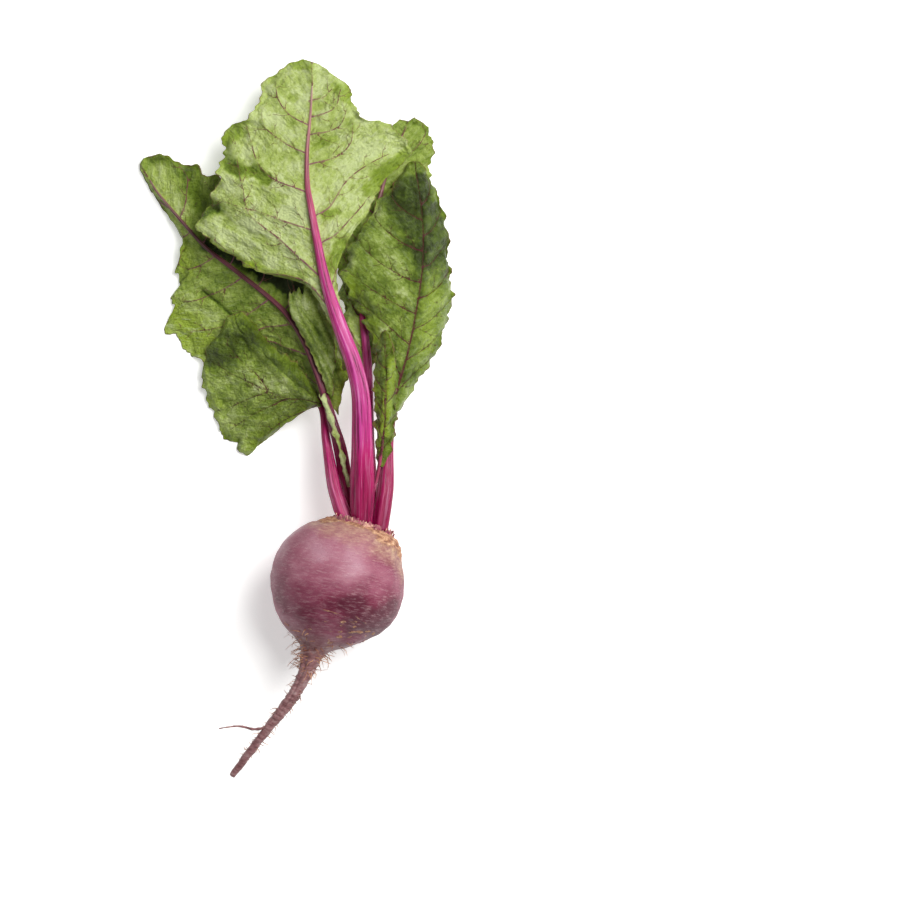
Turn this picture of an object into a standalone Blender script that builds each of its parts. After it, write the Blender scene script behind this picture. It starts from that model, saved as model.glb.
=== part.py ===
"""A beetroot lying on its side: one bulb with its taproot, and six leaves on their stems.

Metres, +Z up. +Y runs from the taproot to the leaf tips, and the floor is z = 0.
Routes and outlines are written in millimetres, on the same axes.
"""

import math

import bmesh
import bpy
import numpy as np
from mathutils import Vector

MM = 0.001

# The middle of the whole beetroot in the routes below, which is the part's origin on the floor.
MIDDLE = (10.03, -0.24, 0.0)

# Driving dimensions, in millimetres.
CROWN = (42.7, -52.4, 30.9)
BULB_RADIUS = 32.6
CROWN_RADIUS = 13.4
BULB_SIDES = 26
ROOT_GAP = 0.4
BLADE_THICKNESS = 0.8
RIB_GAP = 0.9
STEM_SIDES = 10

BEET_RED = (0.17, 0.035, 0.06)
STEM_MAGENTA = (0.24, 0.015, 0.075)
LEAF_PALE = (0.22, 0.30, 0.075)
LEAF_GREEN = (0.10, 0.17, 0.035)
LEAF_DARK = (0.06, 0.11, 0.022)

# The route of the root's axis, from the crown to the tip of the taproot.
ROOT_ROUTE = [
    CROWN,
    (40.5, -60.1, 31.1),
    (30.4, -81.6, 31.4),
    (24.0, -97.0, 31.8),
    (19.0, -112.5, 32.6),
    (15.0, -124.5, 32.6),
    (8.6, -136.3, 31.8),
    (-0.5, -148.0, 29.6),
    (-9.8, -160.0, 26.2),
    (-20.8, -174.6, 20.6),
]

# The turned profile of bulb and taproot: distance down the axis, and radius.
ROOT_PROFILE = [
    (0.0, 0.0),
    (0.0, 5.0),
    (0.0, 10.0),
    (0.0, CROWN_RADIUS),
    (1.4, 15.6),
    (3.6, 18.3),
    (6.6, 21.5),
    (10.0, 24.7),
    (14.0, 27.6),
    (18.5, 30.0),
    (23.0, 31.6),
    (28.0, 32.4),
    (33.0, BULB_RADIUS),
    (38.0, 31.7),
    (42.0, 30.3),
    (46.0, 28.1),
    (50.0, 25.2),
    (53.0, 22.7),
    (56.0, 19.6),
    (58.5, 16.4),
    (60.5, 13.2),
    (62.2, 10.2),
    (64.0, 7.6),
    (66.5, 5.9),
    (70.5, 4.8),
    (76.0, 3.9),
    (84.0, 3.2),
    (92.0, 2.9),
    (101.0, 2.6),
    (111.0, 2.3),
    (121.0, 2.0),
    (130.0, 1.9),
    (139.6, 1.6),
    (141.0, 1.1),
    (141.4, 0.0),
]

SIDE_ROOT_ROUTE = [
    (1.5, -146.5, 29.7),
    (-3.6, -150.4, 29.6),
    (-8.0, -151.8, 28.6),
    (-14.0, -151.0, 27.0),
    (-20.0, -150.2, 25.6),
    (-27.0, -151.6, 24.2),
]

# Each stem's foot on the crown's disc: across it, up it, half its width and half its depth.
FEET = {
    "front": (0.0, 6.2, 4.9, 3.6),
    "long": (-4.2, -4.0, 3.0, 2.6),
    "low": (-8.7, 1.9, 4.0, 3.2),
    "right": (8.9, 1.8, 4.0, 3.2),
    "back": (4.0, -4.6, 3.3, 2.8),
    "inner": (2.8, 0.4, 0.8, 0.8),
}

# Each stem's route from its foot on: x, y, z, half its width and half its depth.
# It ends as the leaf's midrib.
STEMS = {
    "front": [
        (43.2, -36.0, 38.2, 5.8, 3.9),
        (43.2, -11.0, 41.0, 5.1, 4.0),
        (42.4, 10.0, 42.8, 4.4, 3.8),
        (38.8, 26.0, 43.6, 4.0, 3.5),
        (33.0, 42.0, 44.0, 3.6, 3.1),
        (27.6, 58.0, 43.6, 3.3, 2.8),
        (24.0, 71.0, 42.4, 2.7, 2.5),
        (20.9, 86.0, 40.6, 2.3, 2.1),
        (17.9, 102.0, 37.8, 1.9, 1.8),
        (16.2, 113.0, 35.4, 1.6, 1.6),
        (16.0, 128.0, 31.6, 1.2, 1.2),
        (17.4, 146.0, 26.4, 0.8, 0.8),
        (18.3, 161.0, 22.2, 0.5, 0.6),
    ],
    "long": [
        (36.4, -40.0, 26.2, 3.0, 2.3),
        (34.9, -31.0, 26.6, 3.2, 2.2),
        (32.3, -16.0, 27.4, 3.2, 2.1),
        (28.9, -4.0, 27.5, 2.6, 2.0),
        (24.6, 10.0, 26.8, 1.9, 1.7),
        (19.6, 24.0, 25.4, 1.5, 1.5),
        (13.1, 39.0, 23.4, 1.4, 1.4),
        (5.0, 51.0, 21.0, 1.3, 1.3),
        (-6.0, 61.0, 18.6, 1.2, 1.2),
        (-20.0, 72.0, 15.6, 1.1, 1.1),
        (-34.0, 83.0, 12.4, 0.9, 0.9),
        (-46.0, 96.0, 9.0, 0.8, 0.8),
        (-57.0, 109.0, 6.0, 0.6, 0.6),
        (-61.5, 116.0, 4.8, 0.5, 0.5),
    ],
    "low": [
        (31.2, -40.0, 31.2, 3.5, 3.1),
        (28.7, -31.0, 29.4, 3.2, 2.8),
        (25.2, -11.0, 24.0, 2.2, 2.1),
        (22.7, 5.0, 19.0, 1.7, 1.7),
        (13.0, 14.5, 18.6, 1.4, 1.4),
        (3.0, 23.0, 18.0, 1.2, 1.2),
        (-6.0, 32.0, 16.5, 0.9, 0.9),
        (-14.0, 40.0, 14.5, 0.6, 0.7),
        (-18.0, 44.5, 13.2, 0.5, 0.5),
    ],
    "right": [
        (53.4, -41.0, 32.2, 4.0, 3.3),
        (54.5, -31.0, 31.4, 3.8, 3.2),
        (55.4, -11.0, 30.0, 2.8, 2.7),
        (57.0, 1.0, 28.6, 2.4, 2.3),
        (60.0, 14.0, 26.6, 2.0, 2.0),
        (65.0, 32.0, 23.4, 1.7, 1.7),
        (69.0, 52.0, 19.0, 1.4, 1.4),
        (72.0, 74.0, 14.5, 1.1, 1.1),
        (72.0, 96.0, 10.0, 0.8, 0.8),
        (70.0, 112.0, 7.5, 0.6, 0.6),
        (69.0, 118.0, 6.8, 0.5, 0.5),
    ],
    "back": [
        (47.0, -42.0, 24.0, 3.1, 2.7),
        (47.0, -31.0, 21.6, 3.0, 2.6),
        (46.0, -11.0, 19.0, 2.7, 2.5),
        (45.0, 26.0, 15.6, 2.2, 2.1),
        (43.0, 50.0, 13.0, 1.8, 1.8),
        (44.0, 71.0, 10.6, 1.5, 1.5),
        (48.0, 93.0, 8.0, 1.2, 1.2),
        (53.0, 115.0, 5.6, 0.9, 0.9),
        (59.0, 131.0, 4.0, 0.6, 0.6),
        (62.0, 138.0, 3.3, 0.5, 0.5),
    ],
    "inner": [
        (46.6, -42.0, 32.4, 0.8, 0.8),
        (49.2, -33.0, 33.9, 0.8, 0.8),
        (51.0, -24.0, 36.0, 0.9, 0.9),
        (52.6, -12.0, 37.0, 0.9, 0.9),
        (54.0, 1.0, 37.4, 0.8, 0.8),
        (54.4, 16.0, 37.4, 0.7, 0.7),
        (54.2, 27.0, 37.0, 0.6, 0.6),
        (54.0, 33.0, 36.6, 0.5, 0.5),
    ],
}

# Each blade: the stem's point where it starts, its tip, and its two margins from base to tip.
BLADES = {
    "front": {
        "start": 3,
        "tip": (17.9, 173.0, 18.6),
        "left": [
            (34, 22, 41), (27, 45, 40.5), (21, 57, 39), (15.5, 64, 37), (7, 67, 34.5),
            (-9, 71, 30), (-21, 79, 26), (-32.5, 86, 23), (-38, 92, 21.5), (-34, 100, 25),
            (-30, 109, 28), (-27, 115, 29.5), (-28, 121, 28), (-24, 128, 25), (-26, 137, 23),
            (-21, 142, 24), (-14, 144, 26), (-10.5, 149, 25), (-6, 156, 22.5), (-7, 161.5, 20),
            (1, 168, 18.5), (7, 172.5, 17), (14, 174.5, 16),
        ],
        "right": [
            (37.6, 24, 41), (34.6, 42, 41.5), (31, 62, 41), (31, 73, 39.5), (36.5, 86, 36.5),
            (44, 97.5, 33), (48.5, 106, 29), (53.5, 114.5, 24), (60, 122, 19.5), (66, 128, 18),
            (63, 135, 21), (58, 140, 24.5), (51.5, 144, 26.5), (45, 144.5, 27), (40.5, 148, 25.5),
            (37.5, 154, 23.5), (37, 158.5, 21.5), (34.5, 162.5, 20), (29.5, 166, 19),
            (21.5, 172, 17.5),
        ],
        "rib_on_top": True,
        "camber": 1.6,
        "ruffle": 1.8,
        "teeth": 0.5,
        "waves": 6.0,
        "phase": 0.1,
        "rows": 40,
    },
    "long": {
        "start": 4,
        "tip": (-66.5, 124.0, 3.0),
        "left": [
            (24.6, 4, 24.2), (22.5, 10.5, 21.5), (17.5, 16, 17), (9, 23, 13), (0, 30, 10), (-8, 35, 7),
            (-16, 36, 5.5), (-27, 29, 3), (-36.4, 27, 1.5), (-42, 31.5, 0.8), (-50, 40, 0.5),
            (-54.8, 43, 0.5), (-50, 52.5, 2), (-51, 59, 2.6), (-47, 65, 4), (-49, 71, 4.4),
            (-46, 79, 6.4), (-44, 83, 8), (-48.5, 92.5, 6.8), (-60, 109, 3.4), (-66.5, 121, 1.2),
        ],
        "right": [
            (31, 1, 25), (33, 12, 27.5), (36, 22, 30), (34.5, 31, 31), (30.5, 40, 31),
            (25, 47, 30.5), (22, 62, 30), (12, 71, 27), (1, 80, 22.5), (-9, 91, 19),
            (-20, 106, 16), (-27, 117, 14), (-34, 118, 12), (-38, 123, 11), (-45, 123.5, 9.5),
            (-52, 127.6, 7.5), (-58, 128, 5.5), (-65, 126.6, 3.6),
        ],
        "rib_on_top": True,
        "camber": -1.0,
        "ruffle": 1.3,
        "teeth": 0.6,
        "waves": 6.0,
        "phase": 0.35,
        "rows": 38,
    },
    "low": {
        "start": 3,
        "tip": (-20.0, 50.0, 12.6),
        "left": [
            (20, 5, 18), (15.5, 3.5, 15), (5, -3.4, 9), (-8.7, -14, 2.4), (-12.6, -18, 0.8),
            (-18, -17, 0.5), (-19.6, -13, 1.4), (-25, -11, 0.8), (-27.6, -4.4, 1.8),
            (-31.5, 3, 1.4), (-35, 12.6, 3.4), (-36, 18.4, 4.4), (-35.4, 27.6, 7),
            (-33, 34.4, 9), (-27.5, 40.5, 11), (-23.3, 49.5, 12),
        ],
        "right": [
            (22.0, 7.4, 19.2), (17, 17.5, 20.4), (10, 26, 20.6), (0, 33.5, 19.6), (-7, 42, 17.6),
            (-13, 49, 15.4), (-17, 51.5, 14),
        ],
        "rib_on_top": False,
        "camber": 1.2,
        "ruffle": 1.2,
        "teeth": 0.5,
        "waves": 4.0,
        "phase": 0.2,
        "rows": 30,
    },
    "right": {
        "start": 3,
        "tip": (68.0, 125.0, 6.0),
        "left": [
            (54, 3, 26), (52, 20, 25), (48, 33, 24), (45, 44, 23), (39, 55, 22), (34, 65, 21),
            (35, 78, 19), (42, 92, 16), (49, 104, 14), (58, 114, 11), (65, 125, 7),
        ],
        "right": [
            (61, 3, 26), (70, 18, 20), (79, 32, 12), (84, 47, 6), (86, 62, 3), (85, 76, 1),
            (84, 91, 0), (81, 105, 1), (76, 116, 3), (71, 125, 5),
        ],
        "rib_on_top": False,
        "camber": 1.8,
        "ruffle": 1.8,
        "teeth": 1.1,
        "waves": 5.0,
        "phase": 0.6,
        "rows": 32,
    },
    "back": {
        "start": 3,
        "tip": (65.0, 145.0, 2.6),
        "left": [
            (43, 24, 14), (37, 33, 13), (34, 44, 12), (32.5, 58, 9), (30, 75, 6), (28, 91, 3),
            (31, 105, 1), (37, 119, 0), (45, 130, 0), (53, 140, 1), (61, 146, 2),
        ],
        "right": [
            (47.5, 24, 14), (50, 34, 13), (51, 46, 11), (54, 58, 8), (60, 71, 5), (65, 86, 3),
            (70, 100, 2), (74, 115, 1), (77, 130, 0), (75, 141, 1), (68, 147, 2),
        ],
        "rib_on_top": True,
        "camber": 1.0,
        "ruffle": 1.0,
        "teeth": 1.1,
        "waves": 5.0,
        "phase": 0.8,
        "rows": 28,
    },
    "inner": {
        "start": 2,
        "tip": (54.0, 42.0, 36.4),
        "left": [
            (50.2, -24, 36), (49.8, -15, 37), (49.6, -4, 38), (48.9, 8, 38.4), (48.6, 22, 38.4),
            (49.4, 33, 38), (52, 41, 37),
        ],
        "right": [
            (53, -24, 36), (56.5, -17, 35.4), (58.5, -6, 34.8), (59.5, 4, 34.2), (58.8, 16, 34.2),
            (58.8, 29, 34.8), (56, 40, 36),
        ],
        "rib_on_top": False,
        "camber": 0.6,
        "ruffle": 0.6,
        "teeth": 0.5,
        "waves": 4.0,
        "phase": 0.0,
        "rows": 24,
    },
}

LEAF_COLOURS = {
    "front": LEAF_PALE,
    "long": LEAF_GREEN,
    "low": LEAF_GREEN,
    "right": LEAF_DARK,
    "back": LEAF_DARK,
    "inner": LEAF_PALE,
}

# How far across each half a blade's columns of points lie, from the rib to the margin.
COLUMNS = (0.0, 0.16, 0.42, 0.72, 1.0)

for old in list(bpy.data.objects):
    bpy.data.objects.remove(old, do_unlink=True)

beetroot = bpy.data.collections.new("beetroot")
bpy.context.scene.collection.children.link(beetroot)


def material(name, colour, roughness):
    made = bpy.data.materials.new(name)
    made.use_nodes = True
    shader = made.node_tree.nodes["Principled BSDF"]
    shader.inputs["Base Color"].default_value = (*colour, 1.0)
    shader.inputs["Roughness"].default_value = roughness
    shader.inputs["Metallic"].default_value = 0.0
    return made


def add_object(name, mesh, finish=None):
    made = bpy.data.objects.new(name, mesh)
    beetroot.objects.link(made)
    if finish:
        mesh.materials.append(finish)
    mesh.shade_smooth()
    return made


def placed(point):
    """A point of the routes in metres from the part's own origin."""
    return Vector((np.array(point) - np.array(MIDDLE)) * MM)


def smooth_route(points, count):
    """Points evenly spaced along a smooth curve through the given ones, with any further columns."""
    knots = np.array(points, float)
    ends = [2 * knots[0] - knots[1], *knots, 2 * knots[-1] - knots[-2]]
    fine = []
    for i in range(len(knots) - 1):
        a, b, c, d = (ends[i + k] for k in range(4))
        for t in np.linspace(0.0, 1.0, 24, endpoint=False):
            fine.append(
                0.5 * (2 * b + (c - a) * t + (2 * a - 5 * b + 4 * c - d) * t**2
                       + (3 * b - a - 3 * c + d) * t**3)
            )
    fine.append(knots[-1])
    fine = np.array(fine)
    steps = np.linalg.norm(np.diff(fine[:, :3], axis=0), axis=1)
    along = np.concatenate([[0.0], np.cumsum(steps)])
    wanted = np.linspace(0.0, along[-1], count)
    columns = [np.interp(wanted, along, fine[:, k]) for k in range(fine.shape[1])]
    return np.stack(columns, axis=1), along[-1]


def unit(vectors):
    return vectors / np.linalg.norm(vectors, axis=-1, keepdims=True)


def route_frames(points):
    """Tangent, side and upward directions at each point of a route."""
    tangent = unit(np.gradient(points, axis=0))
    side = unit(np.cross(tangent, (0.0, 0.0, 1.0)))
    return tangent, side, np.cross(side, tangent)


def crown_axes():
    """The direction in which the crown's flat disc faces, and the directions across and up it."""
    normal = unit(np.array(ROOT_ROUTE[0]) - np.array(ROOT_ROUTE[1]))
    across = unit(np.cross(normal, (0.0, 0.0, 1.0)))
    return normal, across, np.cross(across, normal)


def root_body():
    """Bulb and taproot: the profile is turned, then laid along the root's route."""
    mesh = bpy.data.meshes.new("root_profile")
    outline = [(radius, 0.0, -down) for down, radius in ROOT_PROFILE]
    edges = [(i, i + 1) for i in range(len(outline) - 1)]
    mesh.from_pydata(outline, edges, [])
    turned = bpy.data.objects.new("root_profile", mesh)
    beetroot.objects.link(turned)
    screw = turned.modifiers.new("turn", "SCREW")
    screw.steps = screw.render_steps = BULB_SIDES
    screw.use_merge_vertices = True
    screw.merge_threshold = 0.0001
    graph = bpy.context.evaluated_depsgraph_get()
    body = bpy.data.meshes.new_from_object(turned.evaluated_get(graph))
    bpy.data.objects.remove(turned)

    count = 600
    route, length = smooth_route(ROOT_ROUTE, count)
    tangent, side, up = route_frames(route)
    work = bmesh.new()
    work.from_mesh(body)
    bmesh.ops.remove_doubles(work, verts=work.verts, dist=0.0005)
    for vert in work.verts:
        x, y, down = vert.co.x, vert.co.y, -vert.co.z
        around = math.atan2(y, x)
        swell = 1.0 + bulb_lumps(down, around)
        place = min(down / length, 1.0) * (count - 1)
        low = min(int(place), count - 2)
        share = place - low
        centre = route[low] * (1 - share) + route[low + 1] * share
        across = side[low] * (1 - share) + side[low + 1] * share
        upward = up[low] * (1 - share) + up[low + 1] * share
        vert.co = placed(centre + (across * x + upward * y) * swell)
    bmesh.ops.recalc_face_normals(work, faces=work.faces)
    cut = bmesh.ops.bisect_plane(
        work, geom=work.verts[:] + work.edges[:] + work.faces[:], dist=1e-7,
        plane_co=(0, 0, 0), plane_no=(0, 0, -1), clear_outer=True,
    )
    rim = [item for item in cut["geom_cut"] if isinstance(item, bmesh.types.BMEdge)]
    bmesh.ops.edgeloop_fill(work, edges=rim)
    bmesh.ops.triangulate(work, faces=work.faces)
    bmesh.ops.recalc_face_normals(work, faces=work.faces)
    work.to_mesh(body)
    work.free()
    return body


def bulb_lumps(down, around):
    """The share by which the root swells or shrinks: low lumps on the bulb, and rings on the taproot."""
    on_bulb = math.sin(math.pi * min(max(down / 66.0, 0.0), 1.0))
    lumps = 0.014 * math.sin(2 * around + 0.7) + 0.010 * math.sin(3 * around + down / 13.0)
    on_tap = min(max((down - 68.0) / 10.0, 0.0), 1.0)
    rings = 0.03 * math.sin(down * 0.55 + around) + 0.04 * math.sin(2 * around + down * 0.21)
    return on_bulb * lumps + on_tap * rings


def tube_mesh(name, points, radii, resolution=0):
    """A closed mesh tube from a bevelled curve along the points."""
    curve = bpy.data.curves.new(name, "CURVE")
    curve.dimensions = "3D"
    curve.bevel_depth = 1.0 * MM
    curve.bevel_resolution = resolution
    curve.use_fill_caps = True
    spline = curve.splines.new("POLY")
    spline.points.add(len(points) - 1)
    for point, place, radius in zip(spline.points, points, radii):
        point.co = (*placed(place), 1.0)
        point.radius = radius
    held = bpy.data.objects.new(name, curve)
    beetroot.objects.link(held)
    graph = bpy.context.evaluated_depsgraph_get()
    mesh = bpy.data.meshes.new_from_object(held.evaluated_get(graph))
    bpy.data.objects.remove(held)
    work = bmesh.new()
    work.from_mesh(mesh)
    bmesh.ops.remove_doubles(work, verts=work.verts, dist=1e-6)
    bmesh.ops.recalc_face_normals(work, faces=work.faces)
    work.to_mesh(mesh)
    work.free()
    return mesh


def point_on_root(route_share, around, sunk):
    """A point sunk below the root's skin, with the directions outwards and down the axis there."""
    route, length = smooth_route(ROOT_ROUTE, 200)
    tangent, side, up = route_frames(route)
    index = int(route_share * 199)
    down = route_share * length
    radius = np.interp(down, [p[0] for p in ROOT_PROFILE[3:]], [p[1] for p in ROOT_PROFILE[3:]])
    outward = side[index] * math.cos(around) + up[index] * math.sin(around)
    return route[index] + outward * (radius - sunk), outward, tangent[index]


def rootlets():
    """Short thin roots on the foot of the bulb and on the taproot, each sunk well in."""
    draw = np.random.default_rng(7)
    meshes = []
    for i in range(16):
        share = 0.44 + 0.036 * i * (0.8 + 0.2 * draw.random())
        around = (math.pi if i % 2 else 0.0) + draw.uniform(-0.9, 0.9)
        base, outward, along = point_on_root(share, around, 1.6)
        length = draw.uniform(6.0, 10.0)
        bend = draw.uniform(-0.5, 0.9)
        points = []
        for step in np.linspace(0.0, 1.0, 5):
            points.append(
                base + outward * (1.6 + length) * step * (1 - 0.2 * step)
                + along * length * bend * step**2
            )
        meshes.append(tube_mesh("rootlet", points, np.linspace(0.75, 0.35, 5)))
    return meshes


def crown_scales():
    """The ragged stubs of old leaf bases that stand round the crown's rim."""
    draw = np.random.default_rng(11)
    normal, side, up = crown_axes()
    meshes = []
    count = 15
    for i in range(count):
        around = 2 * math.pi * (i + draw.uniform(-0.25, 0.25)) / count
        outward = side * math.cos(around) + up * math.sin(around)
        across = np.cross(normal, outward)
        height = draw.uniform(2.0, 3.6)
        width = draw.uniform(2.0, 3.2)
        work = bmesh.new()
        bmesh.ops.create_cone(
            work, cap_ends=True, segments=6, radius1=1.0, radius2=0.35, depth=1.0
        )
        for vert in work.verts:
            rise = (vert.co.z + 0.5) * (height + 3.0) - 3.0
            place = (
                np.array(CROWN) + outward * (CROWN_RADIUS + 2.3 + 0.9 * vert.co.y + 0.16 * rise)
                + across * vert.co.x * width + normal * (rise - 1.6)
            )
            vert.co = placed(place)
        bmesh.ops.recalc_face_normals(work, faces=work.faces)
        mesh = bpy.data.meshes.new("scale")
        work.to_mesh(mesh)
        work.free()
        meshes.append(mesh)
    return meshes


def build_root():
    route, _ = smooth_route(SIDE_ROOT_ROUTE, 9)
    repeats = bpy.data.collections.new("root_repeats")
    bpy.context.scene.collection.children.link(repeats)
    meshes = rootlets() + crown_scales()
    meshes.append(tube_mesh("side_root", route, np.linspace(1.1, 0.4, 9)))
    for mesh in meshes:
        repeats.objects.link(bpy.data.objects.new(mesh.name, mesh))
    root = add_object("beet_root", root_body(), material("beet_skin", BEET_RED, 0.55))
    union = root.modifiers.new("join", "BOOLEAN")
    union.operation = "UNION"
    union.operand_type = "COLLECTION"
    union.collection = repeats
    union.solver = "EXACT"
    graph = bpy.context.evaluated_depsgraph_get()
    joined = bpy.data.meshes.new_from_object(root.evaluated_get(graph))
    root.modifiers.clear()
    root.data = joined
    for repeat in list(repeats.objects):
        bpy.data.objects.remove(repeat)
    bpy.data.collections.remove(repeats)
    joined.shade_smooth()


def build_stem(name, finish):
    """A stem that runs on as its leaf's midrib: a loft from a broad grooved foot to a thin round tip."""
    normal, across, upward = crown_axes()
    foot = FEET[name]
    base = np.array(CROWN) + normal * ROOT_GAP + across * foot[0] + upward * foot[1]
    points = [(*base, *foot[2:]), *STEMS[name]]
    rings = 20
    route, _ = smooth_route(points, rings)
    tangent, side, up = route_frames(route[:, :3])
    side[0], up[0] = across, upward
    work = bmesh.new()
    loops = []
    for i in range(rings):
        centre, wide, deep = route[i, :3], route[i, 3], route[i, 4]
        groove = 0.07 * (1 - i / rings)
        loop = []
        for j in range(STEM_SIDES):
            around = 2 * math.pi * j / STEM_SIDES
            swell = 1.0 + (groove if j % 2 else -groove)
            place = (
                centre + side[i] * wide * math.cos(around) * swell
                + up[i] * deep * math.sin(around) * swell
            )
            loop.append(work.verts.new(placed(place)))
        loops.append(loop)
    for lower, upper in zip(loops, loops[1:]):
        for j in range(STEM_SIDES):
            k = (j + 1) % STEM_SIDES
            work.faces.new((lower[j], lower[k], upper[k], upper[j]))
    work.faces.new(list(reversed(loops[0])))
    work.faces.new(loops[-1])
    bmesh.ops.triangulate(work, faces=work.faces)
    bmesh.ops.recalc_face_normals(work, faces=work.faces)
    mesh = bpy.data.meshes.new(f"{name}_stem")
    work.to_mesh(mesh)
    work.free()
    add_object(f"{name}_stem", mesh, finish)


def blade_point(leaf, rib, thick, frame, left, right, row, across, rows):
    """A point of the blade: a share across from the rib (minus is left), a row along it."""
    tangent, side, up = frame
    share = abs(across)
    margin = (left if across < 0 else right)[row]
    reach = np.linalg.norm(margin - rib[row])
    place = rib[row] + (margin - rib[row]) * share
    along = row / (rows - 1)
    fade = math.sin(math.pi * min(max(along, 0.0), 1.0)) ** 0.5
    turn = 2 * math.pi * (leaf["waves"] * along + leaf["phase"] + (0.37 if across < 0 else 0.0))
    lift = leaf["camber"] * 4 * share * (1 - share) * fade
    lift += leaf["ruffle"] * share**3 * math.sin(turn) * fade
    distance = share * reach
    near = thick[row] * 1.15
    far = thick[row] * 3.6 + 1.0
    hold = 1.0 - min(max((distance - near) / (far - near), 0.0), 1.0)
    hold = hold * hold * (3 - 2 * hold)
    drop = (thick[row] + RIB_GAP + BLADE_THICKNESS / 2) * hold
    lift += -drop if leaf["rib_on_top"] else drop
    place = place + up[row] * lift
    teeth = leaf["teeth"] * share**6 * math.sin(turn * 2.0 + 1.0) * fade
    outward = (margin - rib[row]) / max(reach, 1e-6)
    place = place + outward * teeth
    place[2] = max(place[2], BLADE_THICKNESS / 2 + 0.05)
    return place


def build_blade(name):
    """A blade: a grid of points laid from the midrib out to both margins, then given its thickness."""
    leaf = BLADES[name]
    rows = leaf["rows"]
    points = [p[:4] for p in STEMS[name][leaf["start"]:]] + [(*leaf["tip"], 0.4)]
    route, _ = smooth_route(points, rows)
    rib, thick = route[:, :3], route[:, 3]
    frame = route_frames(rib)
    left, _ = smooth_route(leaf["left"], rows)
    right, _ = smooth_route(leaf["right"], rows)
    shares = [-c for c in reversed(COLUMNS[1:])] + list(COLUMNS)
    work = bmesh.new()
    bmesh.ops.create_grid(work, x_segments=len(shares) - 1, y_segments=rows - 1, size=0.5)
    for vert in work.verts:
        column = round((vert.co.x + 0.5) * (len(shares) - 1))
        row = round((vert.co.y + 0.5) * (rows - 1))
        place = blade_point(leaf, rib, thick, frame, left, right, row, shares[column], rows)
        vert.co = placed(place)
    bmesh.ops.triangulate(work, faces=work.faces)
    mesh = bpy.data.meshes.new(f"{name}_leaf")
    work.to_mesh(mesh)
    work.free()
    blade = add_object(f"{name}_leaf", mesh, material(f"{name}_leaf", LEAF_COLOURS[name], 0.5))
    solidify = blade.modifiers.new("thickness", "SOLIDIFY")
    solidify.thickness = BLADE_THICKNESS * MM
    solidify.offset = 0.0
    solidify.use_even_offset = False


build_root()
stem_finish = material("stem", STEM_MAGENTA, 0.35)
for leaf_name in STEMS:
    build_stem(leaf_name, stem_finish)
    build_blade(leaf_name)
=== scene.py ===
# %% [markdown]
# # A freshly pulled beetroot
# A beetroot is a swollen root with a thin taproot below and a rosette of leaves above. Here it lies
# on its side on a white table, seen from straight above. The plain solids of its pieces already have
# the right size and place. This lesson keeps their routes and outlines, and builds a fine surface on
# each: skin with cork and scratches, ridged stems, and veined, crinkled leaves.

# %% Load the plain solids
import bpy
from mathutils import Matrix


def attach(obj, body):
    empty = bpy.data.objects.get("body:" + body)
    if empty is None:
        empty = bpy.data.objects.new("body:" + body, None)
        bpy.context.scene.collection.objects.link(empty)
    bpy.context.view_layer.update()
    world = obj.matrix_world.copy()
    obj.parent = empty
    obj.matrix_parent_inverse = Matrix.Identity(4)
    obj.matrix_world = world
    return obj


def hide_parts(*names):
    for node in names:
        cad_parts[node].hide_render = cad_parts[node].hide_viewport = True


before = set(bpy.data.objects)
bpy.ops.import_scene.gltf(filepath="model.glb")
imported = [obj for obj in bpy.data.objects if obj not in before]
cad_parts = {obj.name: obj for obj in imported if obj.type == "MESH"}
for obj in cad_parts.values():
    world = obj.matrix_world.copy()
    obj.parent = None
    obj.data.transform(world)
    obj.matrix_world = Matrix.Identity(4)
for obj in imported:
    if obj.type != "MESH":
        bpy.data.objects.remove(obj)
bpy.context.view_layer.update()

# %% [markdown]
# ## Measures
# Every route and outline is a short list of points in millimetres, because the curve of a stem or of a
# leaf's margin has no formula. A smooth curve is laid through the points, so that a few of them are
# enough, and the surfaces are then worked out from the curves.

# %% Points, directions and smooth routes
import math

import bpy
import numpy as np
from mathutils import Vector, kdtree

MM = 0.001
MIDDLE = np.array((10.03, -0.24, 0.0))  # the part's origin, on the axes that the routes below are written in


def metres(points):
    """Points of the routes as places in the scene."""
    return (np.asarray(points, float)[..., :3] - MIDDLE) * MM


def unit(vectors):
    return vectors / np.maximum(np.linalg.norm(vectors, axis=-1, keepdims=True), 1e-9)


def smooth_route(points, count):
    """Points evenly spaced along a smooth curve through the given ones, with any further columns."""
    knots = np.array(points, float)
    ends = [2 * knots[0] - knots[1], *knots, 2 * knots[-1] - knots[-2]]
    fine = []
    for i in range(len(knots) - 1):
        a, b, c, d = (ends[i + k] for k in range(4))
        for t in np.linspace(0.0, 1.0, 24, endpoint=False):
            fine.append(
                0.5 * (2 * b + (c - a) * t + (2 * a - 5 * b + 4 * c - d) * t**2
                       + (3 * b - a - 3 * c + d) * t**3)
            )
    fine.append(knots[-1])
    fine = np.array(fine)
    steps = np.linalg.norm(np.diff(fine[:, :3], axis=0), axis=1)
    along = np.concatenate([[0.0], np.cumsum(steps)])
    wanted = np.linspace(0.0, along[-1], count)
    columns = [np.interp(wanted, along, fine[:, k]) for k in range(fine.shape[1])]
    return np.stack(columns, axis=1), along[-1]


def route_frames(points):
    """Tangent, side and upward directions at each point of a route."""
    tangent = unit(np.gradient(points, axis=0))
    side = unit(np.cross(tangent, (0.0, 0.0, 1.0)))
    return tangent, side, np.cross(side, tangent)


def smooth_step(values):
    held = np.clip(values, 0.0, 1.0)
    return held * held * (3 - 2 * held)


def ripple(points, size, seed, waves=14):
    """Soft random relief, about -1 to 1, whose bumps are about `size` millimetres across."""
    draw = np.random.default_rng(seed)
    directions = unit(draw.normal(size=(waves, 3)))
    phases = draw.uniform(0.0, 2 * math.pi, waves)
    return np.sin(points @ directions.T * (math.pi / size) + phases).sum(axis=-1) / math.sqrt(waves)


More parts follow.
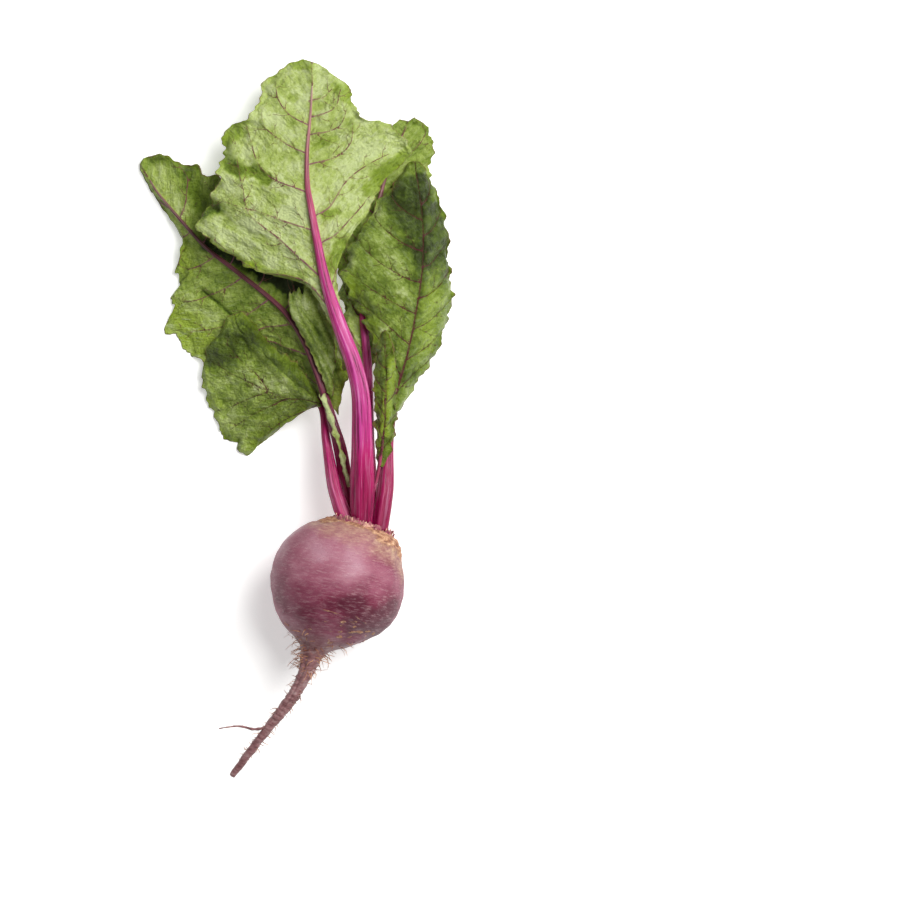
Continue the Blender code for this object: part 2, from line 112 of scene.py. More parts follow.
# %% [markdown]
# ## Camera, table and light
# The picture looks straight down through a long lens, so that the beetroot keeps its true plan. The bulb is
# 65 mm wide and takes up 134 pixels, which sets the width of the whole view. The light is one large soft
# window from the right, with a bright room round it, on a white table that glows a little by its own
# emission: painted light that keeps the shadows on it faint.

# %% Camera
BULB_WIDTH = 65.0
BULB_PIXELS = 134
PICTURE_PIXELS = 900
LENS = 250.0
SENSOR = 36.0
VIEW_CENTRE = (0.0753, -0.0158)  # metres: the middle of the picture lies to the right of the beetroot
VIEW_HEIGHT = 0.032
view_width = BULB_WIDTH / BULB_PIXELS * PICTURE_PIXELS * MM
distance = view_width * LENS / SENSOR
bpy.ops.object.camera_add(location=(*VIEW_CENTRE, VIEW_HEIGHT + distance), rotation=(0.0, 0.0, 0.0))
camera = bpy.context.object
camera.data.lens = LENS
camera.data.sensor_width = SENSOR
bpy.context.scene.camera = camera
print(f"the view is {view_width:.3f} m wide from {distance:.2f} m")

# %% Colours and nodes


def hex_colour(code, alpha=1.0):
    """An sRGB hex value as a linear colour."""
    channels = [int(code[i:i + 2], 16) / 255 for i in (1, 3, 5)]
    linear = [c / 12.92 if c <= 0.04045 else ((c + 0.055) / 1.055) ** 2.4 for c in channels]
    return (*linear, alpha)


def new_material(name):
    made = bpy.data.materials.new(name)
    made.use_nodes = True
    return made, made.node_tree, made.node_tree.nodes["Principled BSDF"]


def fill(tree, node, inputs):
    """Gives a node its inputs, as values, hex colours or links."""
    for key, value in inputs.items():
        if isinstance(value, bpy.types.NodeSocket):
            tree.links.new(value, node.inputs[key])
        else:
            node.inputs[key].default_value = hex_colour(value) if isinstance(value, str) else value


def add(tree, kind, inputs=None, output=0, stops=None, **settings):
    """Adds a node with its settings and its inputs. Returns one of its outputs."""
    made = tree.nodes.new(kind)
    for key, value in settings.items():
        setattr(made, key, value)
    fill(tree, made, inputs or {})
    if stops:
        ramp = made.color_ramp
        while len(ramp.elements) < len(stops):
            ramp.elements.new(0.5)
        for element, (place, colour) in zip(ramp.elements, stops):
            element.position = place
            element.color = hex_colour(colour)
    return made.outputs[output]


# %% [markdown]
# Most nodes are of a few kinds, so each kind has a short function that names only what differs.

# %% Kinds of nodes


def kept_value(tree, name, output=1):
    """The numbers that a mesh keeps under this name."""
    return add(tree, "ShaderNodeAttribute", output=output, attribute_name=name)


def three_parts(tree, vector):
    return [add(tree, "ShaderNodeSeparateXYZ", {"Vector": vector}, output=k) for k in range(3)]


def noise(tree, place, scale, detail, roughness=0.5, output=0):
    inputs = {"Vector": place, "Scale": scale, "Detail": detail, "Roughness": roughness}
    return add(tree, "ShaderNodeTexNoise", inputs, output)


def ranged(tree, value, low, high, first=0.0, last=1.0):
    """A value whose range from low to high becomes the range from first to last."""
    inputs = {"Value": value, "From Min": low, "From Max": high, "To Min": first, "To Max": last}
    return add(tree, "ShaderNodeMapRange", inputs)


def maths(tree, operation, *values, **settings):
    return add(tree, "ShaderNodeMath", dict(enumerate(values)), operation=operation, **settings)


def stretched(tree, vector, by):
    return add(tree, "ShaderNodeVectorMath", {0: vector, 1: by}, operation="MULTIPLY")


def coloured(tree, value, stops):
    return add(tree, "ShaderNodeValToRGB", {"Fac": value}, stops=stops)


def over(tree, mask, under, colour):
    """A colour laid over another one, as far as the mask says."""
    return add(tree, "ShaderNodeMixRGB", {"Fac": mask, "Color1": under, "Color2": colour})


def bumped(tree, height, strength, distance):
    return add(tree, "ShaderNodeBump", {"Height": height, "Strength": strength, "Distance": distance})


# %% Table and light
SWEEP_WHITE = "#F4F4F2"
SWEEP_GLOW = 0.42  # the table glows by its own emission, painted light that keeps the shadows on it faint
sweep, tree, shader = new_material("matt_white_glowing_table")
fill(tree, shader, {
    "Base Color": SWEEP_WHITE,
    "Emission Color": "#FFFFFF",
    "Emission Strength": SWEEP_GLOW,
    "Roughness": 0.9,
    "Specular IOR Level": 0.1,
})
bpy.ops.mesh.primitive_plane_add(size=8.0, location=(0.0, 0.0, 0.0))
table = bpy.context.object
table.name = "table"
table.data.materials.append(sweep)

WINDOW_PLACE = Vector((0.95, 0.65, 1.7))
WINDOW_SIZE = 1.3
WINDOW_POWER = 57.0
bpy.ops.object.light_add(type="AREA", location=WINDOW_PLACE)
window = bpy.context.object
window.name = "window"
window.data.shape = "SQUARE"
window.data.size = WINDOW_SIZE
window.data.energy = WINDOW_POWER
window.rotation_euler = WINDOW_PLACE.to_track_quat("Z", "Y").to_euler()
ROOM_LIGHT = 0.24
room = bpy.data.worlds.new("room")
room.use_nodes = True
fill(room.node_tree, room.node_tree.nodes["Background"], {"Color": "#FFFFFF", "Strength": ROOM_LIGHT})
bpy.context.scene.world = room
bpy.context.scene.view_settings.view_transform = "Standard"

# %% [markdown]
# ## Sheets and rolled sheets
# A leaf is a sheet, and a stem or a root is a sheet rolled shut, so every piece starts as a primitive
# grid whose points are then moved. The grid keeps its rows along the piece and its columns across it,
# which makes the veins, ridges and streaks easy to follow.

# %% Helpers for meshes
SEAM_GAP = 1e-6  # metres: points closer than this are one


def select_only(*pieces):
    bpy.ops.object.select_all(action="DESELECT")
    for piece in pieces:
        piece.select_set(True)
    bpy.context.view_layer.objects.active = pieces[0]


def grid_sheet(name, columns, rows):
    """A flat primitive grid as an object, with the column and the row of each of its points."""
    bpy.ops.object.select_all(action="DESELECT")
    bpy.ops.mesh.primitive_grid_add(x_subdivisions=columns, y_subdivisions=rows, size=1.0)
    made = bpy.context.object
    made.name = name
    made.data.name = name
    flat = np.zeros(len(made.data.vertices) * 3)
    made.data.vertices.foreach_get("co", flat)
    flat = flat.reshape(-1, 3)
    column = np.rint((flat[:, 0] + 0.5) * columns).astype(int)
    row = np.rint((flat[:, 1] + 0.5) * rows).astype(int)
    return made, column, row


def place_points(piece, points):
    """Moves all points of a mesh, given in millimetres."""
    piece.data.vertices.foreach_set("co", metres(points).astype(np.float32).ravel())
    piece.data.update()


def keep_values(piece, name, values):
    """Keeps three numbers for each point of a mesh, which a material can read by that name."""
    kept = piece.data.attributes.new(name, "FLOAT_VECTOR", "POINT")
    kept.data.foreach_set("vector", np.asarray(values, np.float32).ravel())


def give_wall(piece, thickness):
    """Turns a sheet into a wall, some millimetres thick, with its second finish on the lower side."""
    select_only(piece)
    wall = piece.modifiers.new("wall", "SOLIDIFY")
    wall.thickness = thickness * MM
    wall.offset = 0.0
    wall.use_even_offset = False
    wall.material_offset = 1
    bpy.ops.object.modifier_apply(modifier="wall")


def close_up(piece):
    """Merges the seam and the ends of a rolled sheet, and turns its faces outwards."""
    select_only(piece)
    bpy.ops.object.mode_set(mode="EDIT")
    bpy.ops.mesh.select_all(action="SELECT")
    bpy.ops.mesh.remove_doubles(threshold=SEAM_GAP)
    bpy.ops.mesh.normals_make_consistent(inside=False)
    bpy.ops.object.mode_set(mode="OBJECT")


def finished(piece, finishes, slot, *nodes):
    """Smooth faces, the finish, and the solids that the piece stands for. The slot is not used."""
    for finish in finishes:
        piece.data.materials.append(finish)
    piece.data.shade_smooth()
    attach(piece, "root")
    if nodes:
        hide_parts(*nodes)
    print(piece.name, len(piece.data.polygons), "faces")


# %% [markdown]
# ## Beetroot skin
# The skin of a beetroot is a thin layer of cork over red flesh. It is smooth and dusky purple round the
# middle, with fine pale flecks that run round the bulb, rough and tan round the crown, and scratched
# near the neck. The material is made of those layers, each one laid over the last by its own mask.

# %% Skin material
FLECK_WIDTH = 0.42  # mm, across the pale flecks, and they are five times as long
CORK_GRAIN = 0.9  # mm, between the cracks in the cork


def skin_finish():
    made, tree, shader = new_material("beetroot_skin_cork_over_flesh")
    straight = kept_value(tree, "straight")
    crust = kept_value(tree, "crust", output=2)
    cork, neck, tone_and_side_light = three_parts(tree, kept_value(tree, "zones"))
    # Broad patches of deep red and dusky mauve, with painted light that makes one flank lighter and the
    # other darker.
    patches = coloured(
        tree, maths(tree, "ADD", noise(tree, straight, 0.055, 4.0), tone_and_side_light),
        [(0.26, "#54142A"), (0.40, "#70263E"), (0.54, "#874358"), (0.68, "#9A5D6E"), (0.84, "#AA7A88")],
    )
    # Flecks run round the bulb, so their pattern is squeezed down the axis.
    squeezed = stretched(tree, straight, (0.2, 0.2, 1.0))
    flecks = noise(tree, squeezed, 0.5 / FLECK_WIDTH, 7.0, 0.78)
    flecked = over(tree, ranged(tree, flecks, 0.50, 0.68, 0.0, 0.46), patches, "#C49FA4")
    grain = noise(tree, straight, 1.6, 6.0, 0.75)
    speckled = over(tree, ranged(tree, grain, 0.54, 0.68, 0.0, 0.5), flecked, "#5A1F31")
    # A thin brown crust tints the shoulders.
    rings = stretched(tree, straight, (0.45, 0.45, 1.2))
    cracks = noise(tree, rings, 0.5 / CORK_GRAIN, 7.0, 0.75)
    crust_sum = maths(tree, "ADD", crust, maths(tree, "MULTIPLY_ADD", flecks, 1.4, -0.7))
    crust_mask = ranged(tree, crust_sum, 0.15, 1.0, 0.0, 0.8)
    crust_colour = coloured(tree, cracks, [(0.36, "#8B5D58"), (0.5, "#A98270"), (0.66, "#C9AB8C")])
    tinted = over(tree, crust_mask, speckled, crust_colour)
    # Tan cork lies round the crown and in rough spots, cracked in rings.
    cork_colour = coloured(
        tree, cracks, [(0.34, "#6C4038"), (0.46, "#97684F"), (0.56, "#B98C6C"), (0.70, "#DDBD9C")],
    )
    cork_sum = maths(tree, "ADD", cork, maths(tree, "MULTIPLY_ADD", cracks, 1.5, -0.75))
    cork_mask = ranged(tree, cork_sum, 0.40, 0.66)
    corked = over(tree, cork_mask, tinted, cork_colour)
    # The neck and the taproot are browner.
    root_colour = coloured(tree, cracks, [(0.36, "#63403F"), (0.52, "#8B6464"), (0.68, "#AB918E")])
    # Smooth skin has a dull shine, and cork has none.
    shine = ranged(tree, grain, 0.3, 0.7, 0.42, 0.60)
    height = maths(tree, "MULTIPLY_ADD", flecks, 0.18, maths(tree, "MULTIPLY", cork_mask, cracks))
    height = maths(tree, "MULTIPLY_ADD", grain, 0.12, height)
    fill(tree, shader, {
        "Base Color": over(tree, neck, corked, root_colour),
        "Roughness": maths(tree, "MULTIPLY_ADD", cork_mask, 0.32, shine),
        "Normal": bumped(tree, height, 0.55, 0.0009),
        "Subsurface Weight": 0.06,
        "Subsurface Radius": (0.003, 0.0008, 0.0008),
        "Specular IOR Level": 0.35,
    })
    return made


# %% [markdown]
# ## Bulb and taproot
# The root is round about its own axis, which bends at the neck. Its profile, distance down the axis and
# radius, is turned first by rolling a grid, and the rolled shape is then laid along the bent axis. Low
# lumps, rings round the crown and creases on the taproot are added to the profile in millimetres.

# %% Routes and profile of the root
CROWN = (42.7, -52.4, 30.9)
CROWN_RADIUS = 13.4
# The route of the root's axis, from the crown to the tip of the taproot.
ROOT_ROUTE = [
    (42.7, -52.4, 30.9), (41.5, -56.2, 31), (40.1, -60, 31.1), (36.9, -67.2, 31.2), (30.4, -81.6, 31.4),
    (24, -97, 31.8), (19, -112.5, 32.6), (15, -124.5, 32.6), (8.6, -136.3, 31.8), (-0.5, -148, 29.6),
    (-9.8, -160, 26.2), (-20.8, -174.6, 20.6),
]

# The turned profile of bulb and taproot: distance down the axis, and radius.
ROOT_PROFILE = [
    (0, 0), (0, 5), (0, 10), (0, 13.4), (1.2, 16.6), (3.4, 19.9), (6.4, 22.4), (10, 25.1), (14, 27.7),
    (18.5, 30), (23, 31.6), (28, 32.4), (33, 32.6), (38, 31.7), (42, 30.3), (46, 28.1), (50, 25.2),
    (53, 22.7), (56, 19.6), (58.5, 16.4), (60.5, 13.2), (62.2, 10.2), (64, 7.6), (66.5, 5.9),
    (70.5, 4.8), (76, 3.9), (84, 3.2), (92, 2.9), (101, 2.6), (111, 2.3), (121, 2), (130, 1.9),
    (139.6, 1.6), (141, 1.1), (141.4, 0),
]

SIDE_ROOT_ROUTE = [
    (1.5, -146.5, 29.7), (-3.6, -150.4, 29.6), (-8, -151.8, 28.6), (-14, -151, 27), (-20, -150.2, 25.6),
    (-27, -151.6, 24.2),
]
CROWN_PLACE = 13.4  # mm along the profile, where the flat crown ends
# Scratches that have healed with cork: distance down, angle round, length and turn of each.
SCARS = [
    (43.0, 2.25, 12.0, 0.5), (44.5, 1.75, 17.0, -0.25), (47.5, 1.45, 11.0, -0.35), (50.5, 1.62, 7.0, -0.2),
    (53.5, 1.45, 6.0, -0.3), (47.0, 2.5, 5.0, 0.3), (56.5, 1.3, 5.0, -0.2), (41.0, 0.9, 6.0, -0.4),
    (38.0, 4.1, 11.0, 0.3), (46.0, 4.6, 9.0, -0.3), (51.0, 5.4, 8.0, 0.2),
]
# Deep red places on the bulb: distance down, angle round, radius in mm and depth of each.
DEEP_RED = [
    (37.0, 2.0, 9.0, 0.22), (34.0, 2.75, 9.0, 0.22), (44.0, 2.4, 8.0, 0.18), (40.0, 4.5, 14.0, 0.2),
]


def turned_profile(rows):
    """Distance down the axis, radius, and the outward direction in both, at even steps down the profile."""
    profile, _ = smooth_route([(down, radius, 0.0) for down, radius in ROOT_PROFILE], rows)
    down, radius = profile[:, 0], np.maximum(profile[:, 1], 0.0)
    slope = unit(np.stack([np.gradient(down), np.gradient(radius)], axis=1))
    return down, radius, -slope[:, 1], slope[:, 0]


def laid_on_root(x, y, down):
    """Points beside the root's axis, some millimetres down it, laid on its bent route."""
    route, length = smooth_route(ROOT_ROUTE, 600)
    _, side, up = route_frames(route)
    where = np.clip(down, 0.0, length)
    run = np.linspace(0.0, length, len(route))
    laid = []
    for table_of in (route, side, up):
        laid.append(np.stack([np.interp(where, run, table_of[:, k]) for k in range(3)], axis=-1))
    centre, across, upward = laid
    return centre + across * x[..., None] + upward * y[..., None]


def bulb_lumps(down, around):
    """The share by which the root swells or shrinks: low lumps on the bulb, and rings on the taproot."""
    on_bulb = np.sin(math.pi * np.clip(down / 66.0, 0.0, 1.0))
    lumps = 0.014 * np.sin(2 * around + 0.7) + 0.010 * np.sin(3 * around + down / 13.0)
    on_tap = np.clip((down - 68.0) / 10.0, 0.0, 1.0)
    rings = 0.03 * np.sin(down * 0.55 + around) + 0.04 * np.sin(2 * around + down * 0.21)
    return on_bulb * lumps + on_tap * rings


# %% Fine relief and zones of the skin
ROOT_COLUMNS = 220
ROOT_ROWS = 380
SKIN_LEAN = 0.24  # the flecks and cracks lean against the bulb's own axis by this slope


def build_root():
    piece, column, row = grid_sheet("root_skin", ROOT_COLUMNS, ROOT_ROWS)
    down_line, radius_line, out_down, out_radius = turned_profile(ROOT_ROWS + 1)
    around = 2 * math.pi * column / ROOT_COLUMNS
    down, radius = down_line[row], radius_line[row]
    straight = np.stack([radius * np.cos(around), radius * np.sin(around), down], axis=1)
    straight[:, 2] -= np.clip(CROWN_PLACE - radius, 0.0, 99.0) * (down < 0.5) + SKIN_LEAN * straight[:, 0]

    # Cork covers the shoulders, further down on the right side, and a band of rough spots near the neck.
    reach = 6.4 + 1.8 * np.cos(2 * around) - 1.6 * np.cos(around) + 1.1 * ripple(straight, 7.0, 1)
    shoulder = 0.9 * smooth_step((reach + 1.0 - down) / 6.0)
    crust = smooth_step((reach + 11.0 - down + 1.5 * ripple(straight, 9.0, 9)) / 13.0)
    spots = smooth_step(1.6 * ripple(straight, 2.2, 2) - 0.9) * smooth_step((down - 38.0) / 10.0)
    on_right = 0.35 + 0.65 * smooth_step(-1.5 * np.cos(around))
    spots *= 0.75 * (1.0 - smooth_step((down - 66.0) / 4.0)) * on_right
    cork = np.maximum(shoulder, spots)
    neck = smooth_step((down - 54.0) / 12.0) * 0.9
    tap = smooth_step((down - 62.0) / 8.0)

    # Relief in millimetres: cracked cork, rings round the bulb, and creases and pits on the taproot.
    stretched = straight * (0.35, 0.35, 1.0)
    relief = cork * (0.24 * ripple(stretched, 1.5, 3) + 0.20 * ripple(straight, 0.9, 4))
    relief += (1 - cork) * (1 - tap) * (0.10 * ripple(stretched, 2.2, 5) + 0.12 * ripple(straight, 5.0, 6))
    relief += tap * (0.16 * ripple(straight * (0.4, 0.4, 1.0), 1.0, 7) + 0.12 * ripple(straight, 2.5, 8))
    furrow = np.cos(around - 0.4 - down * 0.01) ** 40
    relief -= 0.5 * furrow * smooth_step((down - 46.0) / 14.0) * (1 - smooth_step((down - 90.0) / 30.0))

    # A scar is a short groove along a slanting line round the bulb, with cork in it.
    scarred = np.zeros(len(down))
    for place, angle, length, turn in SCARS:
        run = (np.angle(np.exp(1j * (around - angle)))) * np.maximum(radius, 1.0)
        off = (down - place) - turn * run * 0.35
        inside = smooth_step((length / 2 - np.abs(run)) / 1.5)
        scarred = np.maximum(scarred, inside * np.exp(-(off / 0.3) ** 2))
    relief += 0.12 * scarred
    cork = np.maximum(cork, 0.95 * scarred * (0.55 + 0.45 * ripple(straight, 1.6, 10)))

    fading = np.clip(radius / 3.0, 0.0, 1.0)
    outer = radius * (1.0 + bulb_lumps(down, around)) + out_radius[row] * relief * fading
    x, y = outer * np.cos(around), outer * np.sin(around)
    points = laid_on_root(x, y, down + out_down[row] * relief * fading)
    points[:, 2] = np.maximum(points[:, 2], 0.0)
    place_points(piece, points)
    keep_values(piece, "straight", straight)
    # The skin is palest in a band below the shoulders, and deep red low down on both flanks. The cosine
    # round the bulb is painted light and shade: one flank lighter, the other darker.
    tone_and_side_light = 0.12 * np.exp(-((down - 24.0) / 13.0) ** 2) - 0.06 * smooth_step((down - 32.0) / 9.0)
    tone_and_side_light = tone_and_side_light + 0.12 * np.cos(around)
    for place, angle, width, depth in DEEP_RED:
        turned = np.angle(np.exp(1j * (around - angle)))
        tone_and_side_light = tone_and_side_light - depth * np.exp(-((down - place) / width) ** 2 - (turned * radius / width) ** 2)
    keep_values(piece, "zones", np.stack([cork, neck, tone_and_side_light], axis=1))
    keep_values(piece, "crust", np.stack([crust, crust, crust], axis=1))
    close_up(piece)
    finished(piece, [skin_finish()], "beet_skin", "beet_root")


build_root()

# %% [markdown]
# ## Crown, rootlets and side root
# Where old leaves have dropped, a collar of short ragged scales stands round the stems. Fine hair roots
# grow from the neck and along both sides of the taproot. One scale and one hair root are modelled, and
# each copy gets its own mesh, because each is bent in its own way.

# %% Finishes of the scales and of the hair roots


def dry_finish(name, stops, grain):
    """Dry cork or root skin: a mottled colour with no shine. The grain is in millimetres."""
    made, tree, shader = new_material(name)
    mottle = noise(tree, add(tree, "ShaderNodeTexCoord", output=3), 500.0 / grain, 5.0)
    fill(tree, shader, {
        "Base Color": coloured(tree, mottle, stops),
        "Roughness": ranged(tree, mottle, 0.0, 1.0, 0.55, 0.8),
        "Normal": bumped(tree, mottle, 0.5, 0.0004),
    })
    return made


scale_finish = dry_finish(
    "dry_scale_tissue", [(0.34, "#7A2742"), (0.48, "#A35C66"), (0.58, "#B98878"), (0.70, "#D9B495")], 1.2,
)
hair_finish = dry_finish(
    "hair_root_skin", [(0.36, "#744234"), (0.5, "#A06848"), (0.64, "#C79268")], 3.0,
)
side_finish = dry_finish(
    "side_root_skin", [(0.36, "#6E4748"), (0.5, "#96696A"), (0.64, "#B08A84")], 1.5,
)

# %% Rolled tubes, copies and joining


def tube_points(route, wide, deep, around):
    """Rings of points round a route. wide and deep are half its width and half its depth."""
    _, side, up = route_frames(route)
    across = side[:, None] * (np.cos(around)[None] * wide[:, None])[..., None]
    upward = up[:, None] * (np.sin(around)[None] * deep[:, None])[..., None]
    return route[:, None] + across + upward


def capped(rings):
    """The rings with both ends drawn shut."""
    first = np.repeat(rings[:1].mean(axis=1, keepdims=True), rings.shape[1], axis=1)
    last = np.repeat(rings[-1:].mean(axis=1, keepdims=True), rings.shape[1], axis=1)
    return np.concatenate([first, rings, last])


def copy_of(pattern, name):
    made = pattern.copy()
    made.data = pattern.data.copy()
    made.name = name
    bpy.context.scene.collection.objects.link(made)
    return made


def join_pieces(pieces, name):
    select_only(*pieces)
    bpy.ops.object.join()
    pieces[0].name = name
    pieces[0].data.name = name
    return pieces[0]


def crown_axes():
    """The direction in which the crown's flat disc faces, and the directions across and up it."""
    normal = unit(np.array(ROOT_ROUTE[0]) - np.array(ROOT_ROUTE[1]))
    across = unit(np.cross(normal, (0.0, 0.0, 1.0)))
    return normal, across, np.cross(across, normal)


# %% Scales round the crown
SCALE_COUNT = 84
SCALE_SIDES = 14
SCALE_ROWS = 8


def build_scales():
    draw = np.random.default_rng(11)
    normal, side, up = crown_axes()
    pattern, column, row = grid_sheet("scale", SCALE_SIDES, SCALE_ROWS)
    turn = 2 * math.pi * np.arange(SCALE_SIDES + 1) / SCALE_SIDES
    along = np.linspace(0.0, 1.0, SCALE_ROWS - 1)[:, None]
    pieces = []
    for i in range(SCALE_COUNT):
        around = 2 * math.pi * (i + draw.uniform(-0.3, 0.3)) / SCALE_COUNT
        outward = side * math.cos(around) + up * math.sin(around)
        sideways = np.cross(normal, outward)
        height = draw.uniform(0.5, 1.9)
        width = draw.uniform(1.4, 3.0) * (1.0 - 0.35 * along**3)
        inward = draw.uniform(-3.2, 2.4)
        lean = draw.uniform(-0.5, 0.9)
        across = width * np.cos(turn)
        torn = 1.0 + 0.25 * along * np.sin(across * draw.uniform(1.5, 4.5) + draw.uniform(0.0, 6.0))
        rise = (height + 2.4) * along * torn - 2.4 - 0.5 * max(inward, 0.0)
        thick = (0.55 - 0.3 * along) * np.sin(turn)
        curl = 0.6 * across**2 / CROWN_RADIUS
        distance = CROWN_RADIUS + inward + lean * height * along - curl + thick
        rings = (
            np.array(CROWN) + outward * distance[..., None] + sideways * across[..., None]
            + normal * rise[..., None]
        )
        piece = copy_of(pattern, f"scale_{i}")
        place_points(piece, capped(rings)[row, column])
        pieces.append(piece)
    bpy.data.objects.remove(pattern)
    collar = join_pieces(pieces, "crown_scales")
    close_up(collar)
    finished(collar, [scale_finish], "beet_skin")


build_scales()

# %% Hair roots and the side root
HAIR_COUNT = 190
HAIR_SIDES = 4
HAIR_ROWS = 8


def skin_point(down, around):
    """A point on the root's skin, and the outward direction and the direction down the axis there."""
    depths = [p[0] for p in ROOT_PROFILE[3:]]
    radii = [p[1] for p in ROOT_PROFILE[3:]]
    radius = np.interp(down, depths, radii)
    ahead = np.array([down, down + 0.5])
    x, y = math.cos(around), math.sin(around)
    centre = laid_on_root(np.zeros(2), np.zeros(2), ahead)
    outer = laid_on_root(np.full(2, x), np.full(2, y), ahead)
    outward = unit(outer[0] - centre[0])
    return centre[0] + outward * radius, outward, unit(centre[1] - centre[0])


def hair_route(draw, i):
    """The curved route of one hair root, in millimetres, and its length."""
    if i % 5 < 3:  # most of them stand round the neck
        down = draw.uniform(57.0, 76.0)
        around = draw.uniform(0.0, 2 * math.pi)
        length = draw.uniform(2.5, 8.5)
    else:
        down = draw.uniform(74.0, 132.0)
        around = (0.0 if i % 2 else math.pi) + draw.normal(0.0, 0.55)
        length = draw.uniform(1.5, 5.0)
    base, outward, along = skin_point(down, around)
    sideways = np.cross(outward, along)
    droop = draw.uniform(-0.3, 0.9)
    swing = draw.uniform(-0.7, 0.7)
    curl = draw.uniform(-0.5, 0.5)
    steps = np.linspace(0.0, 1.0, HAIR_ROWS - 1)[:, None]
    route = base - outward * 0.7 + outward * (0.7 + length * 0.8) * steps * (1 - 0.25 * steps)
    route = route + along * length * droop * steps**2 + sideways * length * swing * steps**1.5
    route = route + sideways * 0.25 * length * curl * np.sin(steps * 7.0) * steps
    route[:, 2] -= 0.25 * length * steps[:, 0] ** 2
    route[:, 2] = np.maximum(route[:, 2], 0.4)
    return route, length


def build_hairs():
    draw = np.random.default_rng(7)
    pattern, column, row = grid_sheet("hair", HAIR_SIDES, HAIR_ROWS)
    around = 2 * math.pi * np.arange(HAIR_SIDES + 1) / HAIR_SIDES
    pieces = []
    for i in range(HAIR_COUNT):
        route, length = hair_route(draw, i)
        thick = draw.uniform(0.14, 0.26) * np.linspace(1.0, 0.4, len(route))
        rings = capped(tube_points(route, thick, thick, around))
        piece = copy_of(pattern, f"hair_{i}")
        place_points(piece, rings[row, column])
        pieces.append(piece)
    bpy.data.objects.remove(pattern)
    hairs = join_pieces(pieces, "hair_roots")
    close_up(hairs)
    finished(hairs, [hair_finish], "beet_skin")


def build_side_root():
    rows, sides = 90, 10
    piece, column, row = grid_sheet("side_root", sides, rows)
    route, _ = smooth_route(SIDE_ROOT_ROUTE, rows - 1)
    route[1:, :2] += 0.25 * np.stack([ripple(route[1:], 4.0, 21), ripple(route[1:], 4.0, 22)], axis=1)
    thick = np.linspace(0.95, 0.3, len(route)) * (1 + 0.12 * ripple(route, 1.2, 23))
    rings = capped(tube_points(route, thick, thick, 2 * math.pi * np.arange(sides + 1) / sides))
    place_points(piece, rings[row, column])
    close_up(piece)
    finished(piece, [side_finish], "beet_skin")


build_hairs()
build_side_root()

# %% [markdown]
# ## Ridged stems
# A beetroot's leaf stalk is firm and glossy, deep crimson at its foot and pinker above, with ridges and pale
# streaks that run its whole length. Each stem is a rolled grid round its own route. The ridges are in the
# mesh, and the streaks are noise drawn out along the stem, read from straightened coordinates so that they
# follow every bend. The pale streaks are partly the stalk's own striations and partly painted highlight.

# %% Stalk material
STREAK_WIDTH = 0.5  # mm


def stalk_finish():
    made, tree, shader = new_material("glossy_beet_stalk")
    pink, faded, ridge = three_parts(tree, kept_value(tree, "tone"))
    drawn = stretched(tree, kept_value(tree, "straight"), (1.0, 1.0, 0.035))
    fine = noise(tree, drawn, 0.5 / STREAK_WIDTH, 5.0, 0.62)
    shift = maths(tree, "MULTIPLY_ADD", noise(tree, drawn, 0.22, 2.0), 0.5, -0.25)
    level = maths(tree, "MULTIPLY_ADD", ridge, 0.10, maths(tree, "ADD", pink, shift))
    colour = coloured(
        tree, level,
        [(0.0, "#43021F"), (0.28, "#8C0443"), (0.52, "#AB105E"), (0.76, "#BC3A8B"), (1.0, "#D68FC0")],
    )
    # Pale lilac streaks: partly the stalk's own striations, partly painted highlight.
    pale_streak_and_highlight = maths(tree, "MULTIPLY", ranged(tree, fine, 0.54, 0.66, 0.0, 0.7), pink)
    streaked_and_highlit = over(tree, pale_streak_and_highlight, colour, "#E4B0D4")
    darkened = over(tree, ranged(tree, fine, 0.48, 0.36, 0.0, 0.8), streaked_and_highlit, "#540A2E")
    rib_colour = coloured(tree, fine, [(0.36, "#84625F"), (0.5, "#A98B80"), (0.64, "#C0B493")])
    fill(tree, shader, {
        "Base Color": over(tree, faded, darkened, rib_colour),
        "Roughness": ranged(tree, fine, 0.3, 0.7, 0.24, 0.38),
        "Normal": bumped(tree, fine, 0.7, 0.0008),
        "Subsurface Weight": 0.08,
        "Subsurface Radius": (0.003, 0.0008, 0.0015),
        "Specular IOR Level": 0.3,
    })
    return made


stalk = stalk_finish()

# %% Feet and routes of the stems, and outlines of the blades
ROOT_GAP = 0.4
# Each stem's foot on the crown's disc: across it, up it, half its width and half its depth.
FEET = {
    "front": (0.0, 6.2, 4.9, 3.6),
    "long": (-4.2, -4.0, 3.0, 2.6),
    "low": (-8.7, 1.9, 4.0, 3.2),
    "right": (8.9, 1.8, 4.0, 3.2),
    "back": (4.0, -4.6, 3.3, 2.8),
    "inner": (2.8, 0.4, 0.8, 0.8),
}

